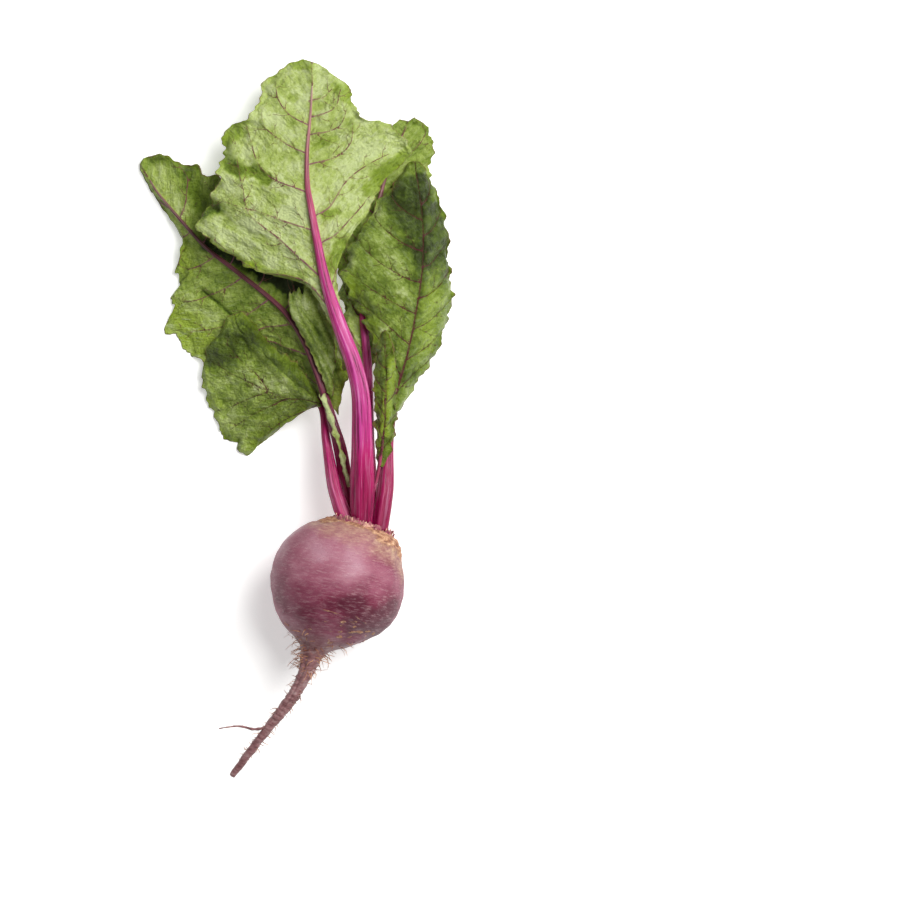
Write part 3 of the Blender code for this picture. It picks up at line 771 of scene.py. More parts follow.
# Each stem's route from its foot on: x, y, z, half its width and half its depth.
# It ends as the leaf's midrib.
STEMS = {
    "front": [
        (43.2, -36, 38.2, 5.8, 3.9), (43.2, -11, 41, 5.1, 4), (42.4, 10, 42.8, 4.4, 3.8),
        (38.8, 26, 43.6, 4, 3.5), (33, 42, 44, 3.6, 3.1), (27.6, 58, 43.6, 2.9, 2.6),
        (24, 71, 42.4, 2.4, 2.3), (20.9, 86, 40.6, 2, 2), (17.9, 102, 37.8, 1.6, 1.7),
        (16.2, 113, 35.4, 1.3, 1.4), (16, 128, 31.6, 1, 1.1), (17.4, 146, 26.4, 0.7, 0.8),
        (18.3, 161, 22.2, 0.5, 0.6),
    ],
    "long": [
        (36.4, -40, 26.2, 3, 2.3), (34.9, -31, 26.6, 3.2, 2.2), (32.3, -16, 27.4, 3.2, 2.1),
        (28.9, -4, 27.5, 2.6, 2), (24.6, 10, 26.8, 1.9, 1.7), (19.6, 24, 25.4, 1.5, 1.5),
        (13.1, 39, 23.4, 1.4, 1.4), (5, 51, 21, 1.3, 1.3), (-6, 61, 18.6, 1.2, 1.2),
        (-20, 72, 15.6, 1.1, 1.1), (-34, 83, 12.4, 0.9, 0.9), (-46, 96, 9, 0.8, 0.8),
        (-57, 109, 6, 0.6, 0.6), (-61.5, 116, 4.8, 0.5, 0.5),
    ],
    "low": [
        (31.2, -40, 31.2, 3.5, 3.1), (28.7, -31, 29.4, 3.2, 2.8), (25.2, -11, 24, 2.2, 2.1),
        (22.7, 5, 19, 1.7, 1.7), (13, 14.5, 18.6, 1.4, 1.4), (3, 23, 18, 1.2, 1.2),
        (-6, 32, 16.5, 0.9, 0.9), (-14, 40, 14.5, 0.6, 0.7), (-18, 44.5, 13.2, 0.5, 0.5),
    ],
    "right": [
        (53.4, -41, 32.2, 4, 3.3), (54.5, -31, 31.4, 3.8, 3.2), (55.4, -11, 30, 2.8, 2.7),
        (57, 1, 28.6, 2.4, 2.3), (60, 14, 26.6, 2, 2), (65, 32, 23.4, 1.7, 1.7), (69, 52, 19, 1.4, 1.4),
        (72, 74, 14.5, 1.1, 1.1), (72, 96, 10, 0.8, 0.8), (70, 112, 7.5, 0.6, 0.6),
        (69, 118, 6.8, 0.5, 0.5),
    ],
    "back": [
        (47, -42, 24, 3.1, 2.7), (47, -31, 21.6, 3, 2.6), (46, -11, 19, 2.7, 2.5),
        (45, 26, 15.6, 2.2, 2.1), (43, 50, 13, 1.8, 1.8), (44, 71, 10.6, 1.5, 1.5),
        (48, 93, 8, 1.2, 1.2), (53, 115, 5.6, 0.9, 0.9), (59, 131, 4, 0.6, 0.6),
        (62, 138, 3.3, 0.5, 0.5),
    ],
    "inner": [
        (46.6, -42, 32.4, 0.8, 0.8), (49.2, -33, 33.9, 0.8, 0.8), (51, -24, 36, 0.9, 0.9),
        (52.6, -12, 37, 0.9, 0.9), (54, 1, 37.4, 0.8, 0.8), (54.4, 16, 37.4, 0.7, 0.7),
        (54.2, 27, 37, 0.6, 0.6), (54, 33, 36.6, 0.5, 0.5),
    ],
}

# Each blade: the stem's point where it starts, its tip, and its two margins from base to tip. Then whether
# its rib is on top, its camber, ruffle and teeth in mm, and the count and phase of its waves.
BLADES = {
    "front": {
        "start": 3, "tip": (17.9, 173, 18.6),
        "left": [
            (34, 22, 41), (27, 45, 40.5), (21, 57, 39), (15.5, 64, 37), (7, 67, 34.5), (-9, 71, 30),
            (-21, 79, 26), (-32.5, 86, 23), (-38, 92, 21.5), (-34, 100, 25), (-30, 109, 28),
            (-27, 115, 29.5), (-28, 121, 28), (-24, 128, 25), (-26, 137, 23), (-21, 142, 24),
            (-14, 144, 26), (-10.5, 149, 25), (-6, 156, 22.5), (-7, 161.5, 20), (1, 168, 18.5),
            (7, 172.5, 17), (14, 174.5, 16),
        ],
        "right": [
            (37.6, 24, 41), (34.6, 42, 41.5), (31, 62, 41), (31, 73, 39.5), (36.5, 86, 36.5),
            (44, 97.5, 33), (48.5, 106, 29), (53.5, 114.5, 24), (60, 122, 19.5), (66, 128, 18),
            (63, 135, 21), (58, 140, 24.5), (51.5, 144, 26.5), (45, 144.5, 27), (40.5, 148, 25.5),
            (37.5, 154, 23.5), (37, 158.5, 21.5), (34.5, 162.5, 20), (29.5, 166, 19), (21.5, 172, 17.5),
        ],
        "rib_on_top": True, "camber": 1.6, "ruffle": 1.8, "teeth": 0.5, "waves": 6.0, "phase": 0.1,
    },
    "long": {
        "start": 4, "tip": (-66.5, 124, 3),
        "left": [
            (24.6, 4, 24.2), (22.4, 8.8, 17.8), (17, 12.5, 15), (9, 21.5, 12.5), (0, 29.5, 10),
            (-8, 35, 7), (-16, 36, 5.5), (-27, 29, 3), (-36.4, 27, 1.5), (-42, 31.5, 0.8),
            (-50, 40, 0.5), (-54.8, 43, 0.5), (-50, 52.5, 2), (-51, 59, 2.6), (-47, 65, 4),
            (-49, 71, 4.4), (-46, 79, 6.4), (-44, 83, 8), (-48.5, 92.5, 6.8), (-60, 109, 3.4),
            (-66.5, 121, 1.2),
        ],
        "right": [
            (31, 1, 25), (33, 12, 27.5), (36, 22, 30), (34.5, 31, 31), (30.5, 40, 31), (25, 47, 30.5),
            (22, 62, 30), (12, 71, 27), (1, 80, 22.5), (-9, 91, 19), (-20, 106, 16), (-27, 117, 14),
            (-34, 118, 12), (-38, 123, 11), (-45, 123.5, 9.5), (-52, 127.6, 7.5), (-58, 128, 5.5),
            (-65, 126.6, 3.6),
        ],
        "rib_on_top": True, "camber": -1.0, "ruffle": 1.3, "teeth": 0.6, "waves": 6.0, "phase": 0.35,
    },
    "low": {
        "start": 3, "tip": (-20, 50, 12.6),
        "left": [
            (20, 5, 18), (15.5, 3.5, 15), (5, -3.4, 9), (-8.7, -14, 2.4), (-12.6, -18, 0.8),
            (-18, -17, 0.5), (-19.6, -13, 1.4), (-25, -11, 0.8), (-27.6, -4.4, 1.8), (-31.5, 3, 1.4),
            (-35, 12.6, 3.4), (-36, 18.4, 4.4), (-35.4, 27.6, 7), (-33, 34.4, 9), (-27.5, 40.5, 11),
            (-23.3, 49.5, 12),
        ],
        "right": [
            (22, 7.4, 19.2), (17, 17.5, 20.4), (10, 26, 20.6), (0, 33.5, 19.6), (-7, 42, 17.6),
            (-13, 49, 15.4), (-17, 51.5, 14),
        ],
        "rib_on_top": False, "camber": 1.2, "ruffle": 1.2, "teeth": 0.5, "waves": 4.0, "phase": 0.2,
    },
    "right": {
        "start": 3, "tip": (68, 125, 6),
        "left": [
            (54, 3, 26), (52, 20, 25), (48, 33, 24), (45, 44, 23), (39, 55, 22), (34, 65, 21),
            (35, 78, 19), (42, 92, 16), (49, 104, 14), (58, 114, 11), (65, 125, 7),
        ],
        "right": [
            (61, 3, 26), (70, 18, 20), (79, 32, 12), (84, 47, 6), (86, 62, 3), (85, 76, 1), (84, 91, 0),
            (81, 105, 1), (76, 116, 3), (71, 125, 5),
        ],
        "rib_on_top": False, "camber": 1.8, "ruffle": 1.8, "teeth": 1.1, "waves": 5.0, "phase": 0.6,
    },
    "back": {
        "start": 3, "tip": (65, 145, 2.6),
        "left": [
            (43, 24, 14), (37, 33, 13), (34, 44, 12), (32.5, 58, 9), (30, 75, 6), (28, 91, 3),
            (31, 105, 1), (37, 119, 0), (45, 130, 0), (53, 140, 1), (61, 146, 2),
        ],
        "right": [
            (47.5, 24, 14), (50, 34, 13), (51, 46, 11), (54, 58, 8), (60, 71, 5), (65, 86, 3),
            (70, 100, 2), (74, 115, 1), (77, 130, 0), (75, 141, 1), (68, 147, 2),
        ],
        "rib_on_top": True, "camber": 1.0, "ruffle": 1.0, "teeth": 1.1, "waves": 5.0, "phase": 0.8,
    },
    "inner": {
        "start": 2, "tip": (54, 42, 36.4),
        "left": [
            (50.2, -24, 36), (49.8, -15, 37), (49.6, -4, 38), (48.9, 8, 38.4), (48.6, 22, 38.4),
            (49.4, 33, 38), (52, 41, 37),
        ],
        "right": [
            (53, -24, 36), (56.5, -17, 35.4), (58.5, -6, 34.8), (59.5, 4, 34.2), (58.8, 16, 34.2),
            (58.8, 29, 34.8), (56, 40, 36),
        ],
        "rib_on_top": False, "camber": 0.6, "ruffle": 0.6, "teeth": 0.5, "waves": 4.0, "phase": 0.0,
    },
}

# %% Tones along the stems
# Places along each stem, as shares of its length, with how pink it is and how far it has faded to rib.
TONES = {
    "front": [(0.0, 0.26, 0.0), (0.10, 0.34, 0.0), (0.20, 0.60, 0.0), (0.42, 0.66, 0.0),
              (0.60, 0.60, 0.0), (0.74, 0.50, 0.2), (0.86, 0.5, 0.55), (1.0, 0.5, 1.0)],
    "long": [(0.0, 0.30, 0.0), (0.25, 0.22, 0.0), (0.4, 0.05, 0.1), (0.8, 0.05, 0.1), (1.0, 0.1, 0.5)],
    "low": [(0.0, 0.45, 0.0), (0.4, 0.50, 0.0), (0.6, 0.2, 0.0), (1.0, 0.2, 0.6)],
    "right": [(0.0, 0.25, 0.0), (0.15, 0.32, 0.0), (0.5, 0.3, 0.0), (1.0, 0.2, 0.6)],
    "back": [(0.0, 0.3, 0.0), (0.3, 0.62, 0.0), (0.5, 0.66, 0.0), (0.64, 0.2, 0.0), (1.0, 0.2, 0.6)],
    "inner": [(0.0, 0.4, 0.0), (1.0, 0.5, 0.5)],
}
STEM_COLUMNS = 44
STEM_ROWS = 190


def stem_shape(name, rows):
    """The route of a stem, half its width and depth, and its side and upward directions."""
    normal, across, upward = crown_axes()
    foot = FEET[name]
    base = np.array(CROWN) + normal * ROOT_GAP + across * foot[0] + upward * foot[1]
    route, length = smooth_route([(*base, *foot[2:]), *STEMS[name]], rows)
    _, side, up = route_frames(route[:, :3])
    share = np.linspace(0.0, 1.0, rows)
    held = np.clip(1.0 - share * 19.0, 0.0, 1.0)[:, None]
    side = unit(side * (1 - held) + across * held)
    up = unit(up * (1 - held) + upward * held)
    return route, side, up, share, length


def build_stem(name):
    piece, column, row = grid_sheet(f"{name}_stalk", STEM_COLUMNS, STEM_ROWS)
    route, side, up, share, length = stem_shape(name, STEM_ROWS - 1)
    around = 2 * math.pi * np.arange(STEM_COLUMNS + 1) / STEM_COLUMNS
    wide, deep = route[:, 3, None], route[:, 4, None]
    along = np.broadcast_to(share[:, None] * length, (len(route), len(around)))
    straight = np.stack([wide * np.cos(around), deep * np.sin(around), along], axis=-1)
    ridges = -0.07 * (1 - share[:, None]) * np.cos(5 * around)
    fine = 0.022 * np.cos(14 * around + 0.4 * np.sin(along / 22.0))
    uneven = 0.028 * ripple(straight * (1.0, 1.0, 0.09), 2.6, 31)
    swell = 1.0 + ridges + (fine + uneven) * smooth_step(wide / 1.6)
    x = wide * np.cos(around) * swell
    y = deep * np.sin(around) * swell
    rings = route[:, None, :3] + side[:, None] * x[..., None] + up[:, None] * y[..., None]
    place_points(piece, capped(rings)[row, column])
    keep_values(piece, "straight", capped(straight)[row, column])
    stops = np.array(TONES[name])
    pink = np.interp(share, stops[:, 0], stops[:, 1])
    faded = np.interp(share, stops[:, 0], stops[:, 2])
    raised = (ridges + fine) / 0.09
    tone = np.stack(np.broadcast_arrays(pink[:, None], faded[:, None], raised), axis=-1)
    keep_values(piece, "tone", capped(tone)[row, column])
    close_up(piece)
    finished(piece, [stalk], "stem_skin", f"{name}_stem")


for leaf_name in STEMS:
    build_stem(leaf_name)

# %% [markdown]
# ## Leaf tissue
# The upper side of a beetroot leaf is a deep, slightly glossy green. The underside is paler and dull, and
# its veins stand out. Both share one pattern of veins, blisters and silvery streaks, so one function makes
# both materials. The silvery streaks are painted sheen, and the dark streaks between them are painted shade.
# It reads three things kept in the mesh: how light and how yellow the leaf is there, painted shade and light
# included, with its distance from the margin, where the nearest vein is, and how far the place lies along
# and across the blade, because the streaks run between the side veins.

# %% Leaf materials
NET_SIZE = 2.4  # mm, between the finest veins


def leaf_finish(name, stops, yellow_colour, painted_sheen_colour, painted_sheen, vein_stops, shine, net_depth):
    made, tree, shader = new_material(name)
    place = add(tree, "ShaderNodeTexCoord", output=3)
    light, yellow, margin = three_parts(tree, kept_value(tree, "tone"))
    side, near, strength = three_parts(tree, kept_value(tree, "vein"))
    # Mottled green: broad clouds, small blotches and the net of the finest veins.
    clouds = noise(tree, place, 80.0, 7.0, 0.66)
    blotch = noise(tree, place, 420.0, 5.0, 0.75)
    warp = noise(tree, place, 260.0, 2.0, output=1)
    bent = add(
        tree, "ShaderNodeVectorMath", {0: warp, 1: (0.0022, 0.0022, 0.0022), 2: place},
        operation="MULTIPLY_ADD",
    )
    net = add(
        tree, "ShaderNodeTexVoronoi", {"Vector": bent, "Scale": 1000.0 / NET_SIZE},
        feature="DISTANCE_TO_EDGE",
    )
    broad = maths(tree, "MULTIPLY_ADD", clouds, 1.2, -0.6)
    mottled = maths(tree, "ADD", broad, maths(tree, "MULTIPLY_ADD", blotch, 0.8, -0.4))
    netted = maths(tree, "MULTIPLY_ADD", ranged(tree, net, 0.0, 0.13, 1.0, 0.0), net_depth, mottled)
    level = maths(tree, "ADD", netted, light)
    yellowed = over(tree, yellow, coloured(tree, level, stops), yellow_colour)
    # Silvery streaks run between the side veins. They are painted sheen: pale streaks that stand for
    # highlights on the crinkles, shown less where the leaf is darker.
    drawn_out = stretched(tree, kept_value(tree, "flow"), (0.40, 0.17, 1.0))
    streak = noise(tree, drawn_out, 1.0, 6.0, 0.7)
    painted_sheen_mask = ranged(tree, streak, 0.52, 0.70, 0.0, painted_sheen)
    with_painted_sheen = over(tree, maths(tree, "MULTIPLY", painted_sheen_mask, level, use_clamp=True), yellowed, painted_sheen_colour)
    # Dark streaks in the hollows between the silvery ones are painted shade.
    hollow_shaded = over(tree, ranged(tree, streak, 0.46, 0.32, 0.0, 0.3), with_painted_sheen, stops[1][1])
    # A vein is where the distance beside it is under its own width. The second mask hides the lines
    # halfway between two veins, where the side changes.
    wobble = maths(tree, "MULTIPLY_ADD", blotch, 1.6, -0.8)
    line = ranged(tree, maths(tree, "ADD", maths(tree, "ABSOLUTE", side), wobble), 0.5, 1.2, 1.0, 0.0)
    drawn = maths(tree, "MULTIPLY", line, ranged(tree, near, 2.2, 3.2, 1.0, 0.0))
    broken = ranged(tree, noise(tree, place, 190.0, 3.0, 0.6), 0.40, 0.54, 0.15)
    whole = maths(tree, "MAXIMUM", broken, ranged(tree, strength, 0.55, 1.0))
    shown = maths(tree, "MULTIPLY", drawn, whole)
    vein_mask = maths(tree, "MULTIPLY", shown, ranged(tree, strength, 0.0, 0.6, 0.25))
    veined = over(tree, vein_mask, hollow_shaded, coloured(tree, strength, vein_stops))
    # The margin has a thin red rim.
    rim = maths(tree, "MULTIPLY", ranged(tree, margin, 0.15, 0.6, 0.7, 0.0), broken)
    blister = maths(tree, "MULTIPLY_ADD", net, 0.8, blotch)
    relief = maths(tree, "MULTIPLY_ADD", streak, 1.6, blister)
    fill(tree, shader, {
        "Base Color": over(tree, rim, veined, "#744236"),
        "Roughness": ranged(tree, blotch, 0.3, 0.7, shine - 0.1, shine + 0.14),
        "Normal": bumped(tree, relief, 1.0, 0.0014),
        "Specular IOR Level": 0.35,
    })
    return made


underside = leaf_finish(
    "leaf_underside_matt",
    [(0.0, "#1C2805"), (0.16, "#425812"), (0.40, "#70882A"), (0.62, "#97AC4C"), (0.82, "#B3C46C"),
     (1.0, "#CBD896")],
    # After the yellow: the colour and the amount of the painted sheen, then the veins.
    "#93AB26", "#CDD8AE", 0.4, [(0.0, "#5C5A2A"), (0.45, "#6B4A34"), (0.8, "#82504F"), (1.0, "#94616A")],
    0.52, 0.05,
)
upper_side = leaf_finish(
    "leaf_upper_side_waxy",
    [(0.0, "#0F1603"), (0.16, "#283709"), (0.40, "#4D6118"), (0.62, "#70852C"), (0.82, "#94A750"),
     (1.0, "#B9C685")],
    # After the yellow: the colour and the amount of the painted sheen, then the veins.
    "#9DB626", "#BFCBA6", 0.36, [(0.0, "#34380F"), (0.5, "#4A2A1C"), (1.0, "#5C1F2E")],
    0.36, -0.06,
)

# %% [markdown]
# ## Leaf blades
# A blade is stretched between its midrib and its two margins, each a smooth route. On that even sheet
# come, in this order: the fine waves and teeth of the margin, the veins, the swelling of the tissue
# between them, and small crinkles. Last, a wall gives the sheet its thickness.

# %% The even sheet of a blade
VEIN_SLOPE = 0.75  # how steeply the side veins climb


def blade_sheet(name, rows, columns):
    """The blade's points by row and column, with its measures across and along."""
    leaf = BLADES[name]
    stem = [p[:4] for p in STEMS[name][leaf["start"]:]] + [(*leaf["tip"], 0.4)]
    route, length = smooth_route(stem, rows)
    rib, thick = route[:, :3], route[:, 3, None]
    _, _, up = route_frames(rib)
    left, _ = smooth_route(leaf["left"], rows)
    right, _ = smooth_route(leaf["right"], rows)
    across = np.linspace(-1.0, 1.0, columns)[None]
    share = np.abs(across)
    along = np.linspace(0.0, 1.0, rows)[:, None]
    spoke = np.where(across[..., None] < 0, left[:, None], right[:, None]) - rib[:, None]
    reach = np.linalg.norm(spoke, axis=-1)
    fade = np.sin(math.pi * np.clip(along, 0.0, 1.0)) ** 0.5
    turn = 2 * math.pi * (leaf["waves"] * along + leaf["phase"] + 0.37 * (across < 0))
    lift = leaf["camber"] * 4 * share * (1 - share) * fade
    lift = lift + leaf["ruffle"] * share**3 * np.sin(turn) * fade
    hold = 1.0 - smooth_step((share * reach - thick * 1.15) / (thick * 2.45 + 1.0))
    sunk = 0.25 * thick if leaf["rib_on_top"] else -thick - 0.75
    lift = lift - sunk * hold
    points = rib[:, None] + spoke * share[..., None] + up[:, None] * lift[..., None]
    outward = spoke / np.maximum(reach, 1e-6)[..., None]
    margin = rib[:, None] + spoke
    teeth = leaf["teeth"] * share**6 * np.sin(turn * 2.0 + 1.0)
    teeth = teeth + share**12 * (0.75 * ripple(margin, 2.6, 41) + 0.4 * ripple(margin, 1.2, 42))
    points = points + outward * (teeth * fade)[..., None]
    edge = np.minimum((1 - share) * reach, (1 - along) * length)
    flow = np.stack([along * length - VEIN_SLOPE * share * reach, across * reach, 0 * reach], axis=-1)
    return points, edge, share, flow


def normals_of(points):
    across = np.gradient(points, axis=1)
    along = np.gradient(points, axis=0)
    return unit(np.cross(across, along))


# %% Veins
# The main veins of the two leaves that show most, in plan, from the rib outwards.
VEIN_ROUTES = {
    "front": [
        [(21.3, 68.9), (2.9, 85.9), (-11.6, 98.0), (-15.0, 110.0), (-17.5, 122.0), (-19.0, 134.0)],
        [(17.5, 90.7), (5.3, 94.6), (-5.8, 99.0), (-18.0, 102.5), (-28.0, 106.0)],
        [(15.5, 109.0), (0.5, 115.0), (-7.8, 123.0), (-11.6, 134.4), (-13.5, 142.0)],
        [(15.0, 128.0), (5.3, 133.0), (-4.4, 140.7), (-6.5, 150.0)],
        [(16.5, 141.6), (7.8, 146.5), (2.0, 154.0), (0.5, 163.0)],
        [(25.4, 55.0), (18.0, 63.5), (8.0, 68.0), (-6.0, 70.5), (-18.0, 77.0), (-29.0, 86.0)],
        [(16.5, 122.2), (29.6, 126.0), (36.9, 133.0), (38.0, 142.0)],
        [(16.5, 136.8), (24.7, 138.2), (32.0, 141.6), (35.0, 149.0)],
        [(17.5, 145.5), (24.7, 147.4), (30.0, 151.3), (32.0, 159.0)],
        [(17.5, 153.8), (24.0, 155.5), (28.0, 160.0)],
        [(19.9, 97.0), (27.2, 101.9), (34.4, 113.5), (44.0, 122.0), (55.0, 128.0)],
        [(23.3, 84.4), (30.0, 88.3), (38.0, 97.0), (46.0, 107.0)],
        [(27.5, 62.0), (30.0, 70.0), (34.5, 80.0)],
    ],
    "low": [
        [(22.5, 6.5), (13.0, 8.6), (6.3, 9.2), (-2.9, 12.6), (-14.5, 18.1), (-26.0, 24.0), (-32.0, 28.0)],
        [(6.3, 9.2), (-6.8, 3.4), (-14.0, -0.5), (-22.0, -6.0)],
        [(20.0, 5.6), (11.0, 1.5), (2.0, -3.0), (-8.0, -11.0)],
        [(-2.9, 12.6), (-13.0, 9.0), (-22.0, 5.0), (-29.0, 3.0)],
        [(-2.9, 12.6), (-9.7, 21.4), (-17.0, 28.0), (-24.0, 36.0)],
    ],
}
# The other leaves' main veins leave the rib in turn on both sides: how many, and how far they climb.
VEIN_RULES = {"long": (15, 0.17), "right": (14, 0.16), "back": (12, 0.18), "inner": (10, 0.16)}
VEIN_STEP = 0.6  # mm, between the points kept along a vein
BRANCH_GAP = 6.0
TWIG_GAP = 3.4


def on_sheet(points, along, across):
    """Places on the blade at shares along and across it."""
    row = np.clip(along, 0.0, 1.0) * (points.shape[0] - 1)
    column = (np.clip(across, -1.0, 1.0) + 1) / 2 * (points.shape[1] - 1)
    r, c = np.floor(row).astype(int), np.floor(column).astype(int)
    r, c = np.minimum(r, points.shape[0] - 2), np.minimum(c, points.shape[1] - 2)
    u, v = (row - r)[:, None], (column - c)[:, None]
    near = points[r, c] * (1 - v) + points[r, c + 1] * v
    far = points[r + 1, c] * (1 - v) + points[r + 1, c + 1] * v
    return near * (1 - u) + far * u


def plan_finder(points):
    """Finds the blade's height under any place of the plan, or None outside its margin."""
    flat = points.reshape(-1, 3)[::2]
    tree = kdtree.KDTree(len(flat))
    for i, (x, y, _) in enumerate(flat):
        tree.insert((x, y, 0.0), i)
    tree.balance()

    def height(x, y):
        _, i, gap = tree.find((x, y, 0.0))
        return flat[i, 2] if gap < 1.6 else None

    return height


def laid_in_plan(route, height):
    """A dense route over the blade, cut off where it leaves it."""
    dense, _ = smooth_route([(x, y, 0.0) for x, y in route], 60)
    length = np.linalg.norm(np.diff(dense, axis=0), axis=1).sum()
    dense, _ = smooth_route(dense, max(int(length / VEIN_STEP), 3))
    kept = []
    for x, y, _ in dense:
        z = height(x, y)
        if z is None:
            break
        kept.append((x, y, z))
    return np.array(kept) if len(kept) > 3 else None


def main_veins(name, points):
    height = plan_finder(points)
    if name in VEIN_ROUTES:
        found = [laid_in_plan(route, height) for route in VEIN_ROUTES[name]]
        return [route for route in found if route is not None], height
    count, climb = VEIN_RULES[name]
    found = []
    for k in range(count):
        start = 0.03 + 0.86 * k / count
        steps = np.linspace(0.0, 1.0, 60)
        along = start + climb * (0.45 * steps + 0.55 * steps**2) * (1 - 0.4 * start)
        across = (1 if k % 2 else -1) * 0.94 * steps ** 0.9
        route, _ = smooth_route(on_sheet(points, along, across), 70)
        found.append(route)
    return found, height


def branches_of(routes, height, gap, longest, draw):
    """Side veins that leave the given ones in turn on both sides."""
    found = []
    for route in routes:
        tangent = unit(np.gradient(route[:, :2], axis=0))
        run = np.linspace(0.0, 1.0, len(route))
        length = np.linalg.norm(np.diff(route, axis=0), axis=1).sum()
        count = int(length / gap)
        for k in range(count):
            share = (k + draw.uniform(0.4, 1.0)) / max(count, 1)
            i = min(int(share * (len(route) - 1)), len(route) - 1)
            turn = (1 if k % 2 else -1) * draw.uniform(0.7, 1.05)
            reach = longest * draw.uniform(0.55, 1.0) * (1 - 0.45 * run[i])
            places = [route[i, :2]]
            heading = math.atan2(tangent[i, 1], tangent[i, 0]) + turn
            for _ in range(4):
                places.append(places[-1] + reach / 4 * np.array([math.cos(heading), math.sin(heading)]))
                heading -= turn * draw.uniform(0.05, 0.3)
            laid = laid_in_plan(places, height)
            if laid is not None:
                found.append(laid)
    return found


def vein_tree(veins):
    """A search tree over the points of the veins, with each point's direction, width and strength."""
    rows = []
    for route, wide, thin, strong, weak in veins:
        tangent = unit(np.gradient(route, axis=0))
        share = np.linspace(0.0, 1.0, len(route))[:, None]
        narrowing, fading = wide + (thin - wide) * share, strong + (weak - strong) * share
        rows.append(np.hstack([route, tangent, narrowing, fading]))
    rows = np.concatenate(rows)
    tree = kdtree.KDTree(len(rows))
    for i, place in enumerate(rows[:, :3]):
        tree.insert(place, i)
    tree.balance()
    return tree, rows


def nearest_vein(points, normals, tree, rows):
    """How far each point is beside its nearest vein, and straight to it, with its width and strength."""
    flat, facing = points.reshape(-1, 3), normals.reshape(-1, 3)
    found = np.array([tree.find(place)[1] for place in flat])
    near = rows[found]
    away = flat - near[:, :3]
    beside = (np.cross(near[:, 3:6], away) * facing).sum(axis=1)
    straight = np.linalg.norm(away, axis=1)
    return [values.reshape(points.shape[:2]) for values in (beside, straight, near[:, 6], near[:, 7])]


# %% [markdown]
# ## Tones of the leaves
# A leaf isn't one green: it is darker at the folded lobes, and each leaf has its own base tone. Painted
# shade darkens the hollows and the places under lobes and under other leaves' edges, and painted light makes
# the thin young tissue yellow where light comes through it. A few soft patches are put where the real ones
# lie.

# %% Tones
# How light and how yellow each leaf is.
LEAF_TONES = {
    "front": (0.86, 0.05),
    "long": (0.52, 0.12),
    "low": (0.70, 0.12),
    "right": (0.60, 0.05),
    "back": (0.60, 0.05),
    "inner": (0.27, 0.15),
}
# Soft strokes in plan: from and to, half the width, then how much lighter, how much yellower, and how far
# the tissue stands out there in millimetres. Some strokes are painted shadows and painted shade, some are
# painted highlights, and one is painted light through a thin lobe; the rest are the leaves' own tones.
TONE_AND_SHADE_STROKES = {
    "front": [
        (-24, 135, -18, 140, 4, -0.42, 0.4, 1), (-18, 120, -3, 116, 3.8, -0.58, 0.25, -1.6),
        (-25, 127, -18, 119, 3, -0.46, 0.1, -0.9), (-33, 105, -26, 101, 2.6, -0.4, 0.1, -0.8),
        (31, 160, 36, 156, 3.5, -0.42, 0.5, 1), (9, 173, 16, 172, 3, -0.36, 0.5, 0.6),
        (46, 112, 64, 126, 4.6, -0.52, 0.42, 1.2), (27, 73, 33, 85, 4, -0.36, 0.2, -0.9),
        (25, 97, 31, 99, 2.6, -0.36, 0.15, -0.7), (19, 131, 29, 135, 2.6, -0.24, 0.2, -0.6),
        # The first stroke here is a painted shadow under a lobe.
        (-35, 99, -29, 101, 3, -0.6, 0, -1.2), (-35, 86, -12, 73, 2.2, -0.16, 0.55, 0.7),
        (-11, 74, 10, 66, 2, -0.22, 0.35, 0.4), (-10, 90, 14, 99, 9, 0.12, -0.05, 0),
        (-1, 127, 2, 127, 3, -0.2, 0.1, -0.5), (8, 155, 9, 155, 2.2, -0.22, 0.1, -0.4),
        (-24, 94, -6, 86, 2.6, -0.14, 0.3, -1),
    ],
    "long": [
        # The first stroke here is painted light through a thin yellow lobe. The second is painted shade in
        # the fold beside it, along a dark vein.
        (-49, 51, -34, 36, 11, 0.8, 0.8, 0.5), (-36, 62, -21, 49, 0.9, -0.4, 0, -0.8),
        # The second stroke here is a painted shadow in the hollow under the front leaf.
        (-47, 80, -42, 72, 5, 0.06, 0.45, 0), (-6, 71, 10, 61, 5.5, -0.8, -0.1, -1),
        # The first stroke here is a painted shadow under the front leaf's edge.
        (-34, 84, -8, 72, 3.5, -0.45, -0.1, 0), (-58, 120, -48, 102, 6, 0.28, 0.25, 0),
        (-41, 121, -37, 104, 4, -0.34, 0.1, -1), (-60, 126, -48, 127, 2.5, -0.35, 0.1, 0.8),
        (27, 45, 34, 26, 3.5, 0.42, 0.85, 0.5), (34, 22, 30, 5, 3, 0.3, 0.6, 0.5),
        (0, 42, -18, 44, 6, 0.16, 0.15, 0),
    ],
    "low": [
        # The first stroke here is a painted shadow across the top of this leaf.
        (-30, 28, -8, 42, 8, -0.46, 0, -0.8), (-2, 33, 18, 15, 4.5, -0.34, 0, 0),
        (-14, 22, 2, 16, 7, 0.14, 0, 0.6), (-8, -11, 16, 4, 4.5, -0.16, 0.15, -0.5),
        (-27, -6, -30, 5, 5, 0.14, 0.25, 0.4),
    ],
    "right": [
        # The first stroke here is painted shade over the leaf's top. The second is a painted highlight.
        (64, 108, 80, 84, 13, -0.42, 0, 0), (50, 101, 61, 62, 4.5, 0.26, -0.05, 0.6),
        # The second stroke here is a painted highlight.
        (38, 66, 49, 40, 3.5, -0.26, 0.25, -0.9), (53, 42, 56, 16, 3.5, 0.28, -0.05, 0.5),
        (71, 78, 70, 52, 4, -0.2, 0, 0), (76, 60, 73, 34, 5, 0.1, 0.25, 0.4),
    ],
    "back": [
        (37, 52, 38, 34, 5, 0.2, 0.05, 0),
    ],
    "inner": [
        (57, 26, 54, -8, 2.5, 0.16, 0.35, 0.3), (49.5, 30, 50, 0, 1.2, -0.3, 0, 0),
    ],
}


